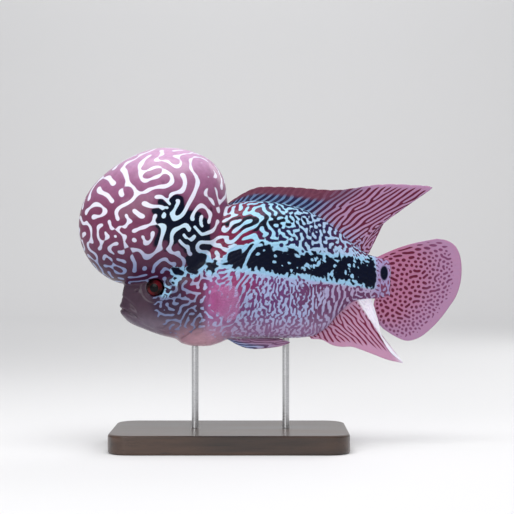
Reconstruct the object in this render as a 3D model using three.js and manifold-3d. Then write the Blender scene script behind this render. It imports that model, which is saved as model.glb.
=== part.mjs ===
// A flowerhorn cichlid at life size on a plain display stand, in millimetres, +Z up.
// The head points to -X and the left flank to -Y. The origin is the middle of the stand's underside.
// The fish is written in its own frame: x runs back from the tip of the snout, y across, and z up
// from the lowest point of the chest. Head and trunk are a swept oval; the forehead hump sits on it.
import * as THREE from "three";
import { mergeVertices } from "three/addons/utils/BufferGeometryUtils.js";
import Module from "manifold-3d";

const wasm = await Module();
wasm.setup();

// Driving dimensions
const SNOUT_X = -112.26; // tip of the snout, from the middle of the stand
const CHEST_Z = 75; // lowest point of the chest above the floor
const BODY_END = 202; // end of the scaled tail stalk, behind the snout
const GAP = 0.3; // clearance between neighbouring pieces

// Head and trunk: [distance behind the snout, height] along each line
const BACK_LINE = [
  [0, 30.4], [0.9, 38.6], [3, 46.9], [10.5, 54.4], [29.3, 68.6], [51.8, 89.6], [70.5, 101.5],
  [85.5, 107.6], [100.5, 109.5], [119.3, 108], [138, 103], [156.8, 92.6], [173.3, 78.4],
  [185.3, 69.8], [194.3, 67.3], [202, 66.4],
];
const BELLY_LINE = [
  [0, 26.6], [2.3, 22], [6.8, 17.6], [18, 12.6], [30.8, 8], [41.3, 5.3], [46.5, 1.9], [55.5, 0.1],
  [65.3, 0.1], [74.3, 2.4], [81, 5], [96.8, 5.8], [126.8, 6], [141.8, 7], [153, 12.6],
  [164.3, 24.6], [173.3, 32.6], [181, 34.9], [191.3, 35.6], [202, 36.2],
];
const WIDEST_LINE = [[0, 28.5], [15, 31], [40, 36], [70, 48], [110, 54], [150, 53], [202, 51]];
const HALF_WIDTH = [
  [0, 2.6], [1, 5.6], [3, 8], [8, 11], [15, 13.8], [27, 18.2], [40, 22.2], [55, 25.4], [75, 27],
  [95, 26.4], [115, 24], [135, 19.8], [155, 14.2], [172, 9.6], [185, 6.6], [195, 4.3], [202, 2.6],
];
const BACK_ROUNDING = [[0, 2.2], [35, 2.3], [65, 3], [95, 2.8], [150, 2.2], [202, 2.2]];
const BELLY_ROUNDING = 2.4;
const END_FALL = 26; // how fast the square of the half width falls past either end

// Forehead hump, as seen from the side: radius from its middle at every 15 degrees, from the rear up
const HUMP = { x: 26.4, z: 96.6, halfWidth: 39, power: 2.2 };
const HUMP_OUTLINE = [
  56, 55.8, 59.2, 59.8, 57.1, 54.4, 52.1, 50, 49.1, 49.9, 52.2, 55.1,
  57.4, 59, 59.5, 58.8, 56.6, 52.8, 51, 53.6, 57.6, 60.4, 61.8, 60,
];
const ROWS = 38; // rings of faces along the trunk
const ROUND = 28; // faces round each ring
const HUMP_AROUND = 40;
const HUMP_ACROSS = 22;

// Small tools
const clamp = THREE.MathUtils.clamp;
const lerp = THREE.MathUtils.lerp;
const radians = THREE.MathUtils.degToRad;

// A smooth line through [position, value] points, with no overshoot between them.
function smoothLine(points) {
  const x = points.map((p) => p[0]);
  const y = points.map((p) => p[1]);
  const slope = x.slice(1).map((b, i) => (y[i + 1] - y[i]) / (b - x[i]));
  const tangent = x.map((_, i) => {
    const before = slope[Math.max(i - 1, 0)];
    const after = slope[Math.min(i, slope.length - 1)];
    return before * after <= 0 ? 0 : (2 * before * after) / (before + after);
  });
  return (at) => {
    const p = clamp(at, x[0], x[x.length - 1]);
    const i = clamp(x.findLastIndex((v) => v <= p), 0, x.length - 2);
    const step = x[i + 1] - x[i];
    const t = (p - x[i]) / step;
    const u = 1 - t;
    return (
      y[i] * (1 + 2 * t) * u * u + y[i + 1] * (3 - 2 * t) * t * t +
      step * t * u * (tangent[i] * u - tangent[i + 1] * t)
    );
  };
}

const backAt = smoothLine(BACK_LINE);
const bellyAt = smoothLine(BELLY_LINE);
const widestAt = smoothLine(WIDEST_LINE);
const halfWidthAt = smoothLine(HALF_WIDTH);
const backRoundingAt = smoothLine(BACK_ROUNDING);

// Square of the half width of head and trunk; negative outside their outline.
function trunkSquare(x, z) {
  const along = clamp(x, 0, BODY_END);
  const widest = widestAt(along);
  const above = z > widest;
  const reach = above ? backAt(along) - widest : widest - bellyAt(along);
  const share = Math.abs(z - widest) / reach;
  const rounding = above ? backRoundingAt(along) : BELLY_ROUNDING;
  return halfWidthAt(along) ** 2 * (1 - share ** rounding) - END_FALL * Math.abs(x - along);
}

// Square of the half width of the trunk, grown outwards by a distance.
function grownSquare(x, z, grow) {
  const here = trunkSquare(x, z);
  if (!grow) return here;
  const step = 0.05;
  const alongX = (trunkSquare(x + step, z) - trunkSquare(x - step, z)) / (2 * step);
  const alongZ = (trunkSquare(x, z + step) - trunkSquare(x, z - step)) / (2 * step);
  return here + grow * Math.hypot(alongX, alongZ, 2 * Math.sqrt(Math.max(here, 0)));
}

// Lowest and highest z of the trunk on the upright line at x.
function spanOf(x, grow) {
  const middle = widestAt(clamp(x, 0, BODY_END));
  const edge = (towards) => {
    let inner = middle;
    let outer = middle + towards * 90;
    for (let i = 0; i < 36; i++) {
      const half = (outer + inner) / 2;
      if (grownSquare(x, half, grow) > 0) inner = half;
      else outer = half;
    }
    return inner;
  };
  return [edge(-1), edge(1)];
}

// Points up one side of the section at x, from belly to back, spaced evenly on the skin.
function sidePoints(x, grow, count) {
  const span = spanOf(x, grow);
  const fine = 160;
  const trail = Array.from({ length: fine + 1 }, (_, i) => {
    const z = lerp(span[0], span[1], (1 - Math.cos((Math.PI * i) / fine)) / 2);
    const y = i % fine ? Math.sqrt(Math.max(grownSquare(x, z, grow), 0)) : 0;
    return new THREE.Vector3(x, y, z);
  });
  const path = new THREE.CurvePath();
  trail.slice(1).forEach((p, i) => path.add(new THREE.LineCurve3(trail[i], p)));
  return Array.from({ length: count + 1 }, (_, i) => path.getPointAt(i / count));
}

// Head and trunk as a plane wrapped round the sections, with rows crowded at the snout.
function trunkSolid(grow = 0) {
  const geometry = new THREE.PlaneGeometry(1, 1, ROUND, ROWS);
  const position = geometry.getAttribute("position");
  const start = -(HALF_WIDTH[0][1] ** 2) / END_FALL - grow;
  const end = BODY_END + HALF_WIDTH.at(-1)[1] ** 2 / END_FALL + grow;
  const half = ROUND / 2;
  for (let row = 0; row <= ROWS; row++) {
    const share = row / ROWS;
    const last = row === 0 || row === ROWS;
    const along = share * (0.35 + 0.65 * Math.min(1.6 * share, 1)) + 0.02 * Math.sin(Math.PI * share);
    const x = lerp(start, end, last ? share : along);
    const side = sidePoints(last ? clamp(x, start + 1e-3, end - 1e-3) : x, grow, half);
    const tip = side[Math.round(half / 2)];
    for (let column = 0; column <= ROUND; column++) {
      const left = column <= half;
      const p = last ? tip : side[left ? column : ROUND - column];
      const y = last ? 0 : left ? -p.y : p.y;
      position.setXYZ(row * (ROUND + 1) + column, x, y, p.z);
    }
  }
  return solidOf(geometry);
}

// The hump as a ball whose round outline in the side view is bent to the table of radii.
function humpSolid(grow = 0) {
  const knots = HUMP_OUTLINE.map((radius, i) => {
    const angle = (i * 2 * Math.PI) / HUMP_OUTLINE.length;
    return new THREE.Vector3(radius * Math.cos(angle), 0, radius * Math.sin(angle));
  });
  const outline = new THREE.CatmullRomCurve3(knots, true, "centripetal");
  const geometry = new THREE.SphereGeometry(1, HUMP_AROUND, HUMP_ACROSS);
  const position = geometry.getAttribute("position");
  for (let i = 0; i < position.count; i++) {
    const up = clamp(position.getY(i), -1, 1);
    const turn = Math.atan2(position.getZ(i), position.getX(i)) / (2 * Math.PI);
    const rim = outline.getPoint(((turn % 1) + 1) % 1);
    const spread = Math.abs(up) > 0.9999 ? 0 : (1 - up * up) ** (1 / HUMP.power);
    const size = spread * (1 + grow / rim.length());
    position.setXYZ(i, HUMP.x + rim.x * size, up * (HUMP.halfWidth + grow), HUMP.z + rim.z * size);
  }
  return solidOf(geometry);
}

// Turns a closed geometry into a solid, without its seams and collapsed triangles.
function solidOf(geometry) {
  const bare = geometry.index ? geometry.toNonIndexed() : geometry.clone();
  bare.deleteAttribute("normal");
  bare.deleteAttribute("uv");
  const merged = mergeVertices(bare, 1e-3);
  const corners = merged.index.array;
  const kept = [];
  for (let i = 0; i < corners.length; i += 3) {
    const [a, b, c] = corners.subarray(i, i + 3);
    if (a !== b && b !== c && c !== a) kept.push(a, b, c);
  }
  const made = new wasm.Manifold(new wasm.Mesh({
    numProp: 3,
    vertProperties: merged.attributes.position.array,
    triVerts: new Uint32Array(kept),
  }));
  if (made.volume() > 0) return made;
  for (let i = 0; i < kept.length; i += 3) [kept[i + 1], kept[i + 2]] = [kept[i + 2], kept[i + 1]];
  return new wasm.Manifold(new wasm.Mesh({
    numProp: 3,
    vertProperties: merged.attributes.position.array,
    triVerts: new Uint32Array(kept),
  }));
}

function geometryOf(solid) {
  const mesh = solid.getMesh();
  const count = mesh.vertProperties.length / mesh.numProp;
  const points = new Float32Array(count * 3);
  for (let i = 0; i < count; i++) {
    points.set(mesh.vertProperties.subarray(i * mesh.numProp, i * mesh.numProp + 3), i * 3);
  }
  const geometry = new THREE.BufferGeometry();
  geometry.setAttribute("position", new THREE.BufferAttribute(points, 3));
  geometry.setIndex(new THREE.BufferAttribute(new Uint32Array(mesh.triVerts), 1));
  geometry.computeVertexNormals();
  return geometry;
}

// A flat region of the side view, [x, z] corner points, as a prism across the body from y0 to y1.
function prism(points, y0, y1) {
  const shape = new THREE.Shape(points.map(([x, z]) => new THREE.Vector2(x, z)));
  const geometry = new THREE.ExtrudeGeometry(shape, { depth: y1 - y0, bevelEnabled: false });
  geometry.rotateX(Math.PI / 2);
  geometry.translate(0, y1, 0);
  return solidOf(geometry);
}

// A thin wall across the body that follows an open line of the side view.
function cut(points, y0 = -70, y1 = 70) {
  const line = new THREE.SplineCurve(points.map(([x, z]) => new THREE.Vector2(x, z)));
  const trail = line.getPoints(points.length * 2);
  const normal = trail.map((_, i) => {
    const t = line.getTangent(i / (trail.length - 1));
    return new THREE.Vector2(-t.y, t.x).multiplyScalar(GAP / 2);
  });
  const one = trail.map((p, i) => [p.x + normal[i].x, p.y + normal[i].y]);
  const other = trail.map((p, i) => [p.x - normal[i].x, p.y - normal[i].y]);
  return prism([...one, ...other.reverse()], y0, y1);
}

const box = (x0, x1, y0, y1, z0, z1) => {
  const geometry = new THREE.BoxGeometry(x1 - x0, y1 - y0, z1 - z0);
  geometry.translate((x0 + x1) / 2, (y0 + y1) / 2, (z0 + z1) / 2);
  return solidOf(geometry);
};

// Where a person would part the body, as lines of the side view
const HEAD_CUT = [
  [46, 110], [52, 97], [59, 82], [64.5, 66], [67.5, 54], [69, 42], [66.5, 26], [60, 13], [50, 6.5],
  [44, 2], [42, -6],
];
const MOUTH_CUT = [[-5, 29.2], [2.5, 28], [9, 25.5], [14.5, 22.4], [18.5, 16], [20, 4]];
const LIP_CUT = [[-5, 38.8], [3.5, 37.2], [8.5, 33], [11.5, 28.5], [12.6, 23.9]];
const STALK_CUT = [[170, 100], [168, 75], [167, 55], [168, 40], [170, 12]];
const COVER_FRONT = [[48, 55.5], [44, 44], [43.5, 30], [40.5, 20], [36, 12.5]];
const COVER_REAR = [[36, 12.5], [47, 10.5], [56, 14], [64, 28], [66, 42], [64.2, 54], [60, 62], [48, 55.5]];
const COVER_DEPTH = 4;

// The gill cover is a shell on one cheek, from the body's surface to a depth below it.
function gillCover(body, core, side) {
  const ring = [...COVER_FRONT.slice(1), ...COVER_REAR.slice(1)];
  const region = side < 0 ? prism(ring, -60, 0) : prism(ring, 0, 60);
  return body.intersect(region).subtract(core);
}

// The pocket that a gill cover sits in, a gap wider all round.
function coverPocket(core, side) {
  const middle = new THREE.Vector2(54, 36);
  const ring = [...COVER_FRONT.slice(1), ...COVER_REAR.slice(1)].map(([x, z]) => {
    const away = new THREE.Vector2(x, z).sub(middle);
    return away.setLength(away.length() + GAP).add(middle).toArray();
  });
  const region = side < 0 ? prism(ring, -60, 0) : prism(ring, 0, 60);
  return region.subtract(core);
}

// Eyes: a flattened ball in each socket, turned with the cheek so that a low dome shows
const EYE = { x: 27.6, z: 44.6, radius: 7.2, depth: 5.2, out: 2.5, yaw: 13, roll: 4 };

function eyeBall(side, grow) {
  const centre = Math.sqrt(trunkSquare(EYE.x, EYE.z)) + EYE.out - EYE.depth;
  const geometry = new THREE.SphereGeometry(1, 18, 10);
  geometry.rotateX(Math.PI / 2);
  geometry.scale(EYE.radius + grow, EYE.depth + grow, EYE.radius + grow);
  geometry.rotateX(side * radians(-EYE.roll));
  geometry.rotateZ(side * radians(EYE.yaw));
  geometry.translate(EYE.x, side * centre, EYE.z);
  return solidOf(geometry);
}

// A fin as a thin plate between guide rays, each [base x, base z, tip x, tip z].
// bow bends a ray sideways in the plane, sway pushes the plate out of it, and both fade at the base.
function finPlate({ rays, along, across, root, rim, bow = () => 0, sway = () => 0, crop = [0, 1] }) {
  const base = new THREE.SplineCurve(rays.map((ray) => new THREE.Vector2(ray[0], ray[1])));
  const edge = new THREE.SplineCurve(rays.map((ray) => new THREE.Vector2(ray[2], ray[3])));
  const geometry = new THREE.BoxGeometry(1, 1, 1, along, 1, across);
  const position = geometry.getAttribute("position");
  for (let i = 0; i < position.count; i++) {
    const u = lerp(crop[0], crop[1], position.getX(i) + 0.5);
    const v = position.getZ(i) + 0.5;
    const side = Math.sign(position.getY(i));
    const foot = base.getPoint(u);
    const tip = edge.getPoint(u);
    const bend = bow(u) * Math.sin(Math.PI * v);
    const x = lerp(foot.x, tip.x, v) - bend * (tip.y - foot.y);
    const z = lerp(foot.y, tip.y, v) + bend * (tip.x - foot.x);
    const thick = lerp(root, rim, Math.sqrt(v)) / 2;
    position.setXYZ(i, x, side * thick + sway(u, v), z);
  }
  return solidOf(geometry);
}

const DORSAL_RAYS = [
  [77.5, 103, 79.5, 106.8], [82, 105, 86.6, 111.6], [88, 106.5, 95.6, 116.8], [95, 107.5, 104.6, 119.7],
  [104, 107.5, 116, 119.8], [113, 106.5, 127, 119.6], [122, 105, 138, 118.9], [131, 102.5, 150, 117.8],
  [139, 99.5, 163, 117.5], [146, 95.8, 176, 119], [152.5, 91.2, 190, 121.2], [158, 86.8, 204, 121.9],
  [163, 82.6, 219, 121.3], [167, 79, 230.6, 120.5], [170, 76.2, 233.9, 118.8], [172.5, 74, 226, 115.1],
  [175, 71.8, 216.5, 111.8], [177, 70, 206.5, 103.8], [179, 68.3, 199, 94.7], [181, 66.8, 193.5, 84.2],
  [182.5, 65.6, 188.8, 75], [184, 64.6, 185, 68.5],
];
const SPINY_PART = [0, 0.405];
const SOFT_PART = [0.408, 1];
const ANAL_RAYS = [
  [140, 9.5, 143, 5.6], [144, 11, 151, 5], [148, 13.2, 158.6, 1.2], [152, 16, 165.5, -0.2],
  [156, 19.5, 173.5, -0.2], [160, 23.6, 181.5, -2.8], [164, 27.8, 190, -6], [168, 31.6, 199.1, -9.5],
  [171, 34, 207, -11.4], [173.5, 35.6, 211.7, -12.1], [175.5, 36.8, 207, -8.5], [177.5, 37.8, 202.5, -4.4],
  [179.5, 38.4, 198.2, 2.2], [181.5, 38.6, 195.2, 9.2], [183.5, 38.8, 193.3, 17.8],
  [185.5, 38.9, 190.8, 26.2], [187, 39, 188.4, 34],
];
const TAIL_RAYS = [
  [190, 66, 237, 80.8], [192.5, 65.2, 244.5, 79.6], [194.3, 64, 250.4, 76], [195.5, 61.6, 253.9, 70.3],
  [196.2, 58.8, 255.6, 62.6], [196.6, 55.8, 255.8, 54.4], [196.6, 52.8, 254.6, 46],
  [196.4, 49.8, 251.6, 37.4], [196, 47, 246.6, 29.6], [195.4, 44.5, 240.2, 21], [194.6, 42.4, 232.6, 13],
  [193.4, 40.4, 224.2, 6.6], [192.4, 38.8, 214.8, 4.2], [191.6, 37.6, 205.5, 7.8], [191, 36.8, 197, 13.5],
];
const PECTORAL_RAYS = [
  [0, 4.6, 15, 13.5], [0.5, 3, 22, 14.2], [0.7, 2, 28, 10.5], [1, 1, 31, 5], [1, 0, 31.6, -0.5],
  [1, -1, 30, -6], [0.5, -3, 25, -11], [0, -4.6, 16, -12.5],
];
const PELVIC_RAYS = [
  [80, 5.6, 113, -1], [80.4, 5.5, 119, -0.6], [81, 5.4, 126.8, 2.4], [81.8, 5.4, 123, 4.2],
  [83, 5.4, 112, 5],
];

const FIN_SWAY = 3.5;
const dorsalSway = (u, v) => -1.5 * v * v * Math.sin(2 * Math.PI * u);
const analSway = (u, v) => -FIN_SWAY * v * v * u;
const tailSway = (u, v) => FIN_SWAY * v * v * (u - 0.35);

const dorsalPart = (crop, along) =>
  finPlate({ rays: DORSAL_RAYS, along, across: 3, root: 3.2, rim: 0.8, sway: dorsalSway, crop });
const analFin = () =>
  finPlate({ rays: ANAL_RAYS, along: 22, across: 4, root: 2.8, rim: 0.8, sway: analSway });
const tailBow = (u) => lerp(0.045, -0.02, Math.min(u * 3, 1)) - 0.16 * Math.max(u - 0.85, 0) / 0.15;
const tailFin = (grow = 0) =>
  finPlate({
    rays: TAIL_RAYS, along: 26, across: 5, root: 4 + 2 * grow, rim: 0.8 + 2 * grow,
    bow: tailBow, sway: tailSway,
  });

// A side fin is made flat for the left flank, turned and moved out to its root, and mirrored.
const PECTORAL = { x: 68.5, y: -27.6, z: 34.5, splay: 50, dip: -4 };
const PELVIC = { y: -7.5, splay: 3, tilt: 24 };

function pectoralFin() {
  const bent = (u, v) => 2.2 * v * v;
  return finPlate({ rays: PECTORAL_RAYS, along: 11, across: 4, root: 1.6, rim: 0.7, sway: bent })
    .rotate([0, -PECTORAL.dip, 0])
    .rotate([0, 0, -PECTORAL.splay])
    .translate([PECTORAL.x, PECTORAL.y, PECTORAL.z]);
}

function pelvicFin() {
  const foot = PELVIC_RAYS[0];
  const bow = (u) => -0.13 * (1 - u);
  return finPlate({ rays: PELVIC_RAYS, along: 5, across: 7, root: 1.8, rim: 0.7, bow })
    .translate([-foot[0], 0, -foot[1]])
    .rotate([-PELVIC.tilt, 0, 0])
    .rotate([0, 0, -PELVIC.splay])
    .translate([foot[0], PELVIC.y, foot[1]]);
}

// Stand: a plate with eased edges and two rods that stop just under the skin
const BASE = { x: 82, length: 176, width: 100, thick: 14, corner: 16, ease: 1.6 };
const ROD = { radius: 2.6, front: 56, rear: 124, sides: 16 };

function standBase() {
  const a = BASE.length / 2 - BASE.ease;
  const b = BASE.width / 2 - BASE.ease;
  const r = BASE.corner - BASE.ease;
  const shape = new THREE.Shape();
  shape.moveTo(-a + r, -b);
  shape.lineTo(a - r, -b);
  shape.absarc(a - r, -b + r, r, -Math.PI / 2, 0);
  shape.absarc(a - r, b - r, r, 0, Math.PI / 2);
  shape.absarc(-a + r, b - r, r, Math.PI / 2, Math.PI);
  shape.absarc(-a + r, -b + r, r, Math.PI, 1.5 * Math.PI);
  const geometry = new THREE.ExtrudeGeometry(shape, {
    depth: BASE.thick - 2 * BASE.ease, bevelThickness: BASE.ease, bevelSize: BASE.ease,
    bevelSegments: 2, curveSegments: 6,
  });
  geometry.translate(BASE.x, 0, BASE.ease - CHEST_Z);
  return solidOf(geometry);
}

function standRod(x, grown) {
  const foot = BASE.thick + GAP - CHEST_Z;
  const head = 12;
  const geometry = new THREE.CylinderGeometry(ROD.radius, ROD.radius, head - foot, ROD.sides);
  geometry.rotateX(Math.PI / 2);
  geometry.translate(x, 0, (head + foot) / 2);
  return solidOf(geometry).subtract(grown);
}

// The biggest body of a solid, without slivers that a cut leaves.
function mainBody(solid) {
  return solid.decompose().sort((a, b) => b.volume() - a.volume())[0];
}

// Head and trunk parted by thin cuts; the hump sits on them with a gap all round.
const trunkWhole = trunkSolid();
const grown = trunkSolid(GAP);
const humpGrown = humpSolid(GAP);
const core = trunkSolid(-COVER_DEPTH);
const coverCore = trunkSolid(-COVER_DEPTH + GAP);
const sockets = eyeBall(-1, GAP).add(eyeBall(1, GAP));
const parted = [HEAD_CUT, MOUTH_CUT, STALK_CUT]
  .reduce((solid, line) => solid.subtract(cut(line)), trunkWhole).subtract(sockets);

// Names a parted piece by a point in the side view that only it covers.
function pieceAt(pieces, x, z) {
  const probe = box(x - 1, x + 1, -1, 1, z - 1, z + 1);
  return pieces.find((piece) => piece.intersect(probe).volume() > 1);
}

const pieces = parted.decompose();
const hump = mainBody(humpSolid().subtract(grown).subtract(sockets));
const headSide = pieceAt(pieces, 40, 40);
const headAndLip = headSide.subtract(cut(LIP_CUT)).decompose();
const upperJaw = pieceAt(headAndLip, 6, 31);
const pockets = [-1, 1].map((side) => coverPocket(core, side));
const head = mainBody(pieceAt(headAndLip, 40, 40).subtract(pockets[0]).subtract(pockets[1]));
const lowerJaw = pieceAt(pieces, 8, 20);
const trunk = pieceAt(pieces, 120, 60);
const stalk = pieceAt(pieces, 185, 50);

const finOf = (plate) => mainBody(plate.subtract(grown));

// Materials, each with the part's own colour
const finish = (color, roughness, metalness = 0) =>
  new THREE.MeshStandardMaterial({ color, roughness, metalness });
const skin = finish(0x9c5a78, 0.4);
const humpSkin = finish(0x8d3c56, 0.32);
const faceSkin = finish(0x8a7484, 0.4);
const finSkin = finish(0xa8788f, 0.45);
const clearFin = finish(0xc99aae, 0.4);
const eyeGloss = finish(0x4a0f16, 0.08);
const darkWood = finish(0x2b211c, 0.45);
const steel = finish(0xb9bbbd, 0.3, 1);

const fish = new THREE.Group();
fish.position.set(SNOUT_X, 0, CHEST_Z);

function add(name, solid, material) {
  const mesh = new THREE.Mesh(geometryOf(solid), material);
  mesh.name = name;
  fish.add(mesh);
}

add("nuchal_hump", hump, humpSkin);
add("head", head, skin);
add("upper_jaw", upperJaw, faceSkin);
add("lower_jaw", lowerJaw, faceSkin);
add("gill_cover_left", mainBody(gillCover(headSide, coverCore, -1)), skin);
add("gill_cover_right", mainBody(gillCover(headSide, coverCore, 1)), skin);
add("trunk", trunk, skin);
add("tail_stalk", stalk, skin);
add("dorsal_fin_spiny", finOf(dorsalPart(SPINY_PART, 14).subtract(humpGrown)), finSkin);
add("dorsal_fin_soft", finOf(dorsalPart(SOFT_PART, 24)), finSkin);
add("anal_fin", finOf(analFin().subtract(tailFin(GAP))), finSkin);
add("tail_fin", finOf(tailFin()), finSkin);
add("pectoral_fin_left", finOf(pectoralFin()), clearFin);
add("pectoral_fin_right", finOf(pectoralFin()).mirror([0, 1, 0]), clearFin);
add("pelvic_fin_left", finOf(pelvicFin()), finSkin);
add("pelvic_fin_right", finOf(pelvicFin()).mirror([0, 1, 0]), finSkin);
add("eye_left", eyeBall(-1, 0), eyeGloss);
add("eye_right", eyeBall(1, 0), eyeGloss);
add("stand_base", standBase(), darkWood);
add("stand_rod_front", standRod(ROD.front, grown), steel);
add("stand_rod_rear", standRod(ROD.rear, grown), steel);

export default fish;
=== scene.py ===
"""A flowerhorn cichlid at life size, held over a plain wooden base by two steel rods.

Shapes are worked out in the fish's own frame, in millimetres: x runs back from the tip of the snout,
y across with the left flank at -y, and z up from the lowest point of the chest.
"""

from __future__ import annotations

import copy
import logging
import math
from collections.abc import Callable, Sequence
from dataclasses import dataclass, field
from enum import Enum

import bpy
import numpy as np
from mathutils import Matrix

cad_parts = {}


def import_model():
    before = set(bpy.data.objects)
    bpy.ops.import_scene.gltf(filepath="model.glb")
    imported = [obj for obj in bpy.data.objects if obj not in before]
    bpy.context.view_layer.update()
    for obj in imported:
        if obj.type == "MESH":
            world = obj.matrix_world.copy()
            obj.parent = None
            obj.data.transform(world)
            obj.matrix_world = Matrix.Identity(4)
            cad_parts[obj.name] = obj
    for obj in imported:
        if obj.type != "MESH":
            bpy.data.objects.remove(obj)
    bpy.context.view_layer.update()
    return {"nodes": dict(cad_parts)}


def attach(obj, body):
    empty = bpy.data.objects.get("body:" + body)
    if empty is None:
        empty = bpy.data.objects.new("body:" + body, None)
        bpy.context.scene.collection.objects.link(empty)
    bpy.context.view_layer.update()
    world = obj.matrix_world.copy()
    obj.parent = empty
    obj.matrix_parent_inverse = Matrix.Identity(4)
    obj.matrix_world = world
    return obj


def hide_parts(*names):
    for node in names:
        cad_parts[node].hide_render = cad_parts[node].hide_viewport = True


Array = np.ndarray
Table = Sequence[Sequence[float]]
Colour = tuple[float, float, float]

LOG = logging.getLogger("flowerhorn")
SNOUT_X = -112.26
CHEST_Z = 75.0
BODY_END = 202.0
MM = 0.001
SKIN_MAP = "OFBake"


class Side(Enum):
    """Flank of the fish, as the sign of y."""

    LEFT = -1.0
    RIGHT = 1.0


# Numeric helpers


def to_row(points: Array) -> Array:
    """Moves points, shape (..., 3), from the fish's frame in millimetres to the row frame in metres."""
    return (points + np.array([SNOUT_X, 0.0, CHEST_Z])) * MM


def smoothstep(low: float, high: float, value: Array) -> Array:
    """Rises from 0 at low to 1 at high as 3t^2 - 2t^3; high may be under low."""
    t = np.clip((value - low) / (high - low), 0.0, 1.0)
    return t * t * (3.0 - 2.0 * t)


def bump(distance: Array, width: float) -> Array:
    """Bell exp(-(distance / width)^2), 1 in the middle and 1/e at the width."""
    return np.exp(-((distance / width) ** 2))


def mix(a: Array | Colour | float, b: Array | Colour | float, share: Array) -> Array:
    """Weighted mean a (1 - share) + b share, with share spread over colour channels.

    Args:
        a: Value at share 0.
        b: Value at share 1.
        share: Weights; a trailing axis is added when a or b holds colours.

    Returns:
        The mixed values.
    """
    a, b = np.asarray(a, float), np.asarray(b, float)
    if a.ndim > share.ndim or b.ndim > share.ndim or a.shape == (3,) or b.shape == (3,):
        share = share[..., None]
    return a * (1.0 - share) + b * share


def linear(red: float, green: float, blue: float) -> Colour:
    """Turns a display colour of 0 to 255 a channel into linear light, (c / 255)^2.2."""
    return tuple((c / 255.0) ** 2.2 for c in (red, green, blue))


def layered(ground: Array | Colour, *layers: tuple[Array | Colour, Array]) -> Array:
    """Lays colours over a ground one after the other, each by its own share.

    Args:
        ground: Linear colours, or one display colour as a tuple.
        layers: Pairs of such a colour and the share that it takes.

    Returns:
        The mixed linear colours.
    """
    full = linear(*ground) if isinstance(ground, tuple) else ground
    for colour, share in layers:
        full = mix(full, linear(*colour) if isinstance(colour, tuple) else colour, share)
    return full


def smooth_line(points: Table) -> Callable[[Array], Array]:
    """A cubic line through points with no overshoot: tangents are harmonic means of the slopes.

    Args:
        points: Pairs of position and value, in rising position.

    Returns:
        The line as a function of position.
    """
    x, y = np.array(points, float).T
    step = np.diff(x)
    slope = np.diff(y) / step
    before = np.concatenate([slope[:1], slope])
    after = np.concatenate([slope, slope[-1:]])
    same = before * after > 0
    tangent = np.where(same, 2 * before * after / np.where(same, before + after, 1.0), 0.0)

    def line(at: Array) -> Array:
        """Value at each position, held constant past either end."""
        at = np.clip(at, x[0], x[-1])
        i = np.clip(np.searchsorted(x, at, "right") - 1, 0, len(x) - 2)
        t = (at - x[i]) / step[i]
        u = 1 - t
        return (
            y[i] * (1 + 2 * t) * u * u
            + y[i + 1] * (3 - 2 * t) * t * t
            + step[i] * t * u * (tangent[i] * u - tangent[i + 1] * t)
        )

    return line


def spline(points: Table, at: Array, closed: bool = False) -> Array:
    """A Catmull-Rom line: each span is a cubic whose end tangents are half the neighbours' chord.

    Args:
        points: Corner points or values, one row each.
        at: Places along the line, 0 to 1.
        closed: Whether the line runs on from the last point to the first.

    Returns:
        Points on the line, shape at.shape + point shape.
    """
    p = np.array(points, float)
    n = len(p)
    spot = (at % 1.0) * n if closed else np.clip(at, 0, 1) * (n - 1)
    i = np.minimum(spot.astype(int), n - 1 if closed else n - 2)
    t = (spot - i).reshape(spot.shape + (1,) * (p.ndim - 1))

    def knot(k: Array) -> Array:
        """Point k, wrapped round a closed line or held at the ends of an open one."""
        return p[k % n] if closed else p[np.clip(k, 0, n - 1)]

    a, b, c, d = knot(i - 1), knot(i), knot(i + 1), knot(i + 2)
    return 0.5 * (
        2 * b + (c - a) * t + (2 * a - 5 * b + 4 * c - d) * t**2 + (3 * b - a - 3 * c + d) * t**3
    )


def line_distance(x: Array, z: Array, points: Table) -> tuple[Array, Array]:
    """Distance to an open line of the side view, and how far along it the nearest point lies.

    Each span's nearest point is its start plus its direction times the clamped share of the span.

    Args:
        x: Distance behind the snout.
        z: Height.
        points: Corner points (x, z) of the line.

    Returns:
        Signed distance, positive to the left of the line's direction, and the share 0 to 1.
    """
    p = np.array(points, float)
    best = np.full(np.shape(x), 1e9)
    sign, share = np.zeros_like(best), np.zeros_like(best)
    for i, (start, end) in enumerate(zip(p[:-1], p[1:])):
        d = end - start
        t = np.clip(((x - start[0]) * d[0] + (z - start[1]) * d[1]) / (d @ d), 0, 1)
        away_x, away_z = x - start[0] - t * d[0], z - start[1] - t * d[1]
        gap = np.hypot(away_x, away_z)
        nearer = gap < best
        best = np.where(nearer, gap, best)
        sign = np.where(nearer, np.sign(d[0] * away_z - d[1] * away_x), sign)
        share = np.where(nearer, (i + t) / (len(p) - 1), share)
    return best * np.where(sign == 0, 1.0, sign), share


# Body


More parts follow.
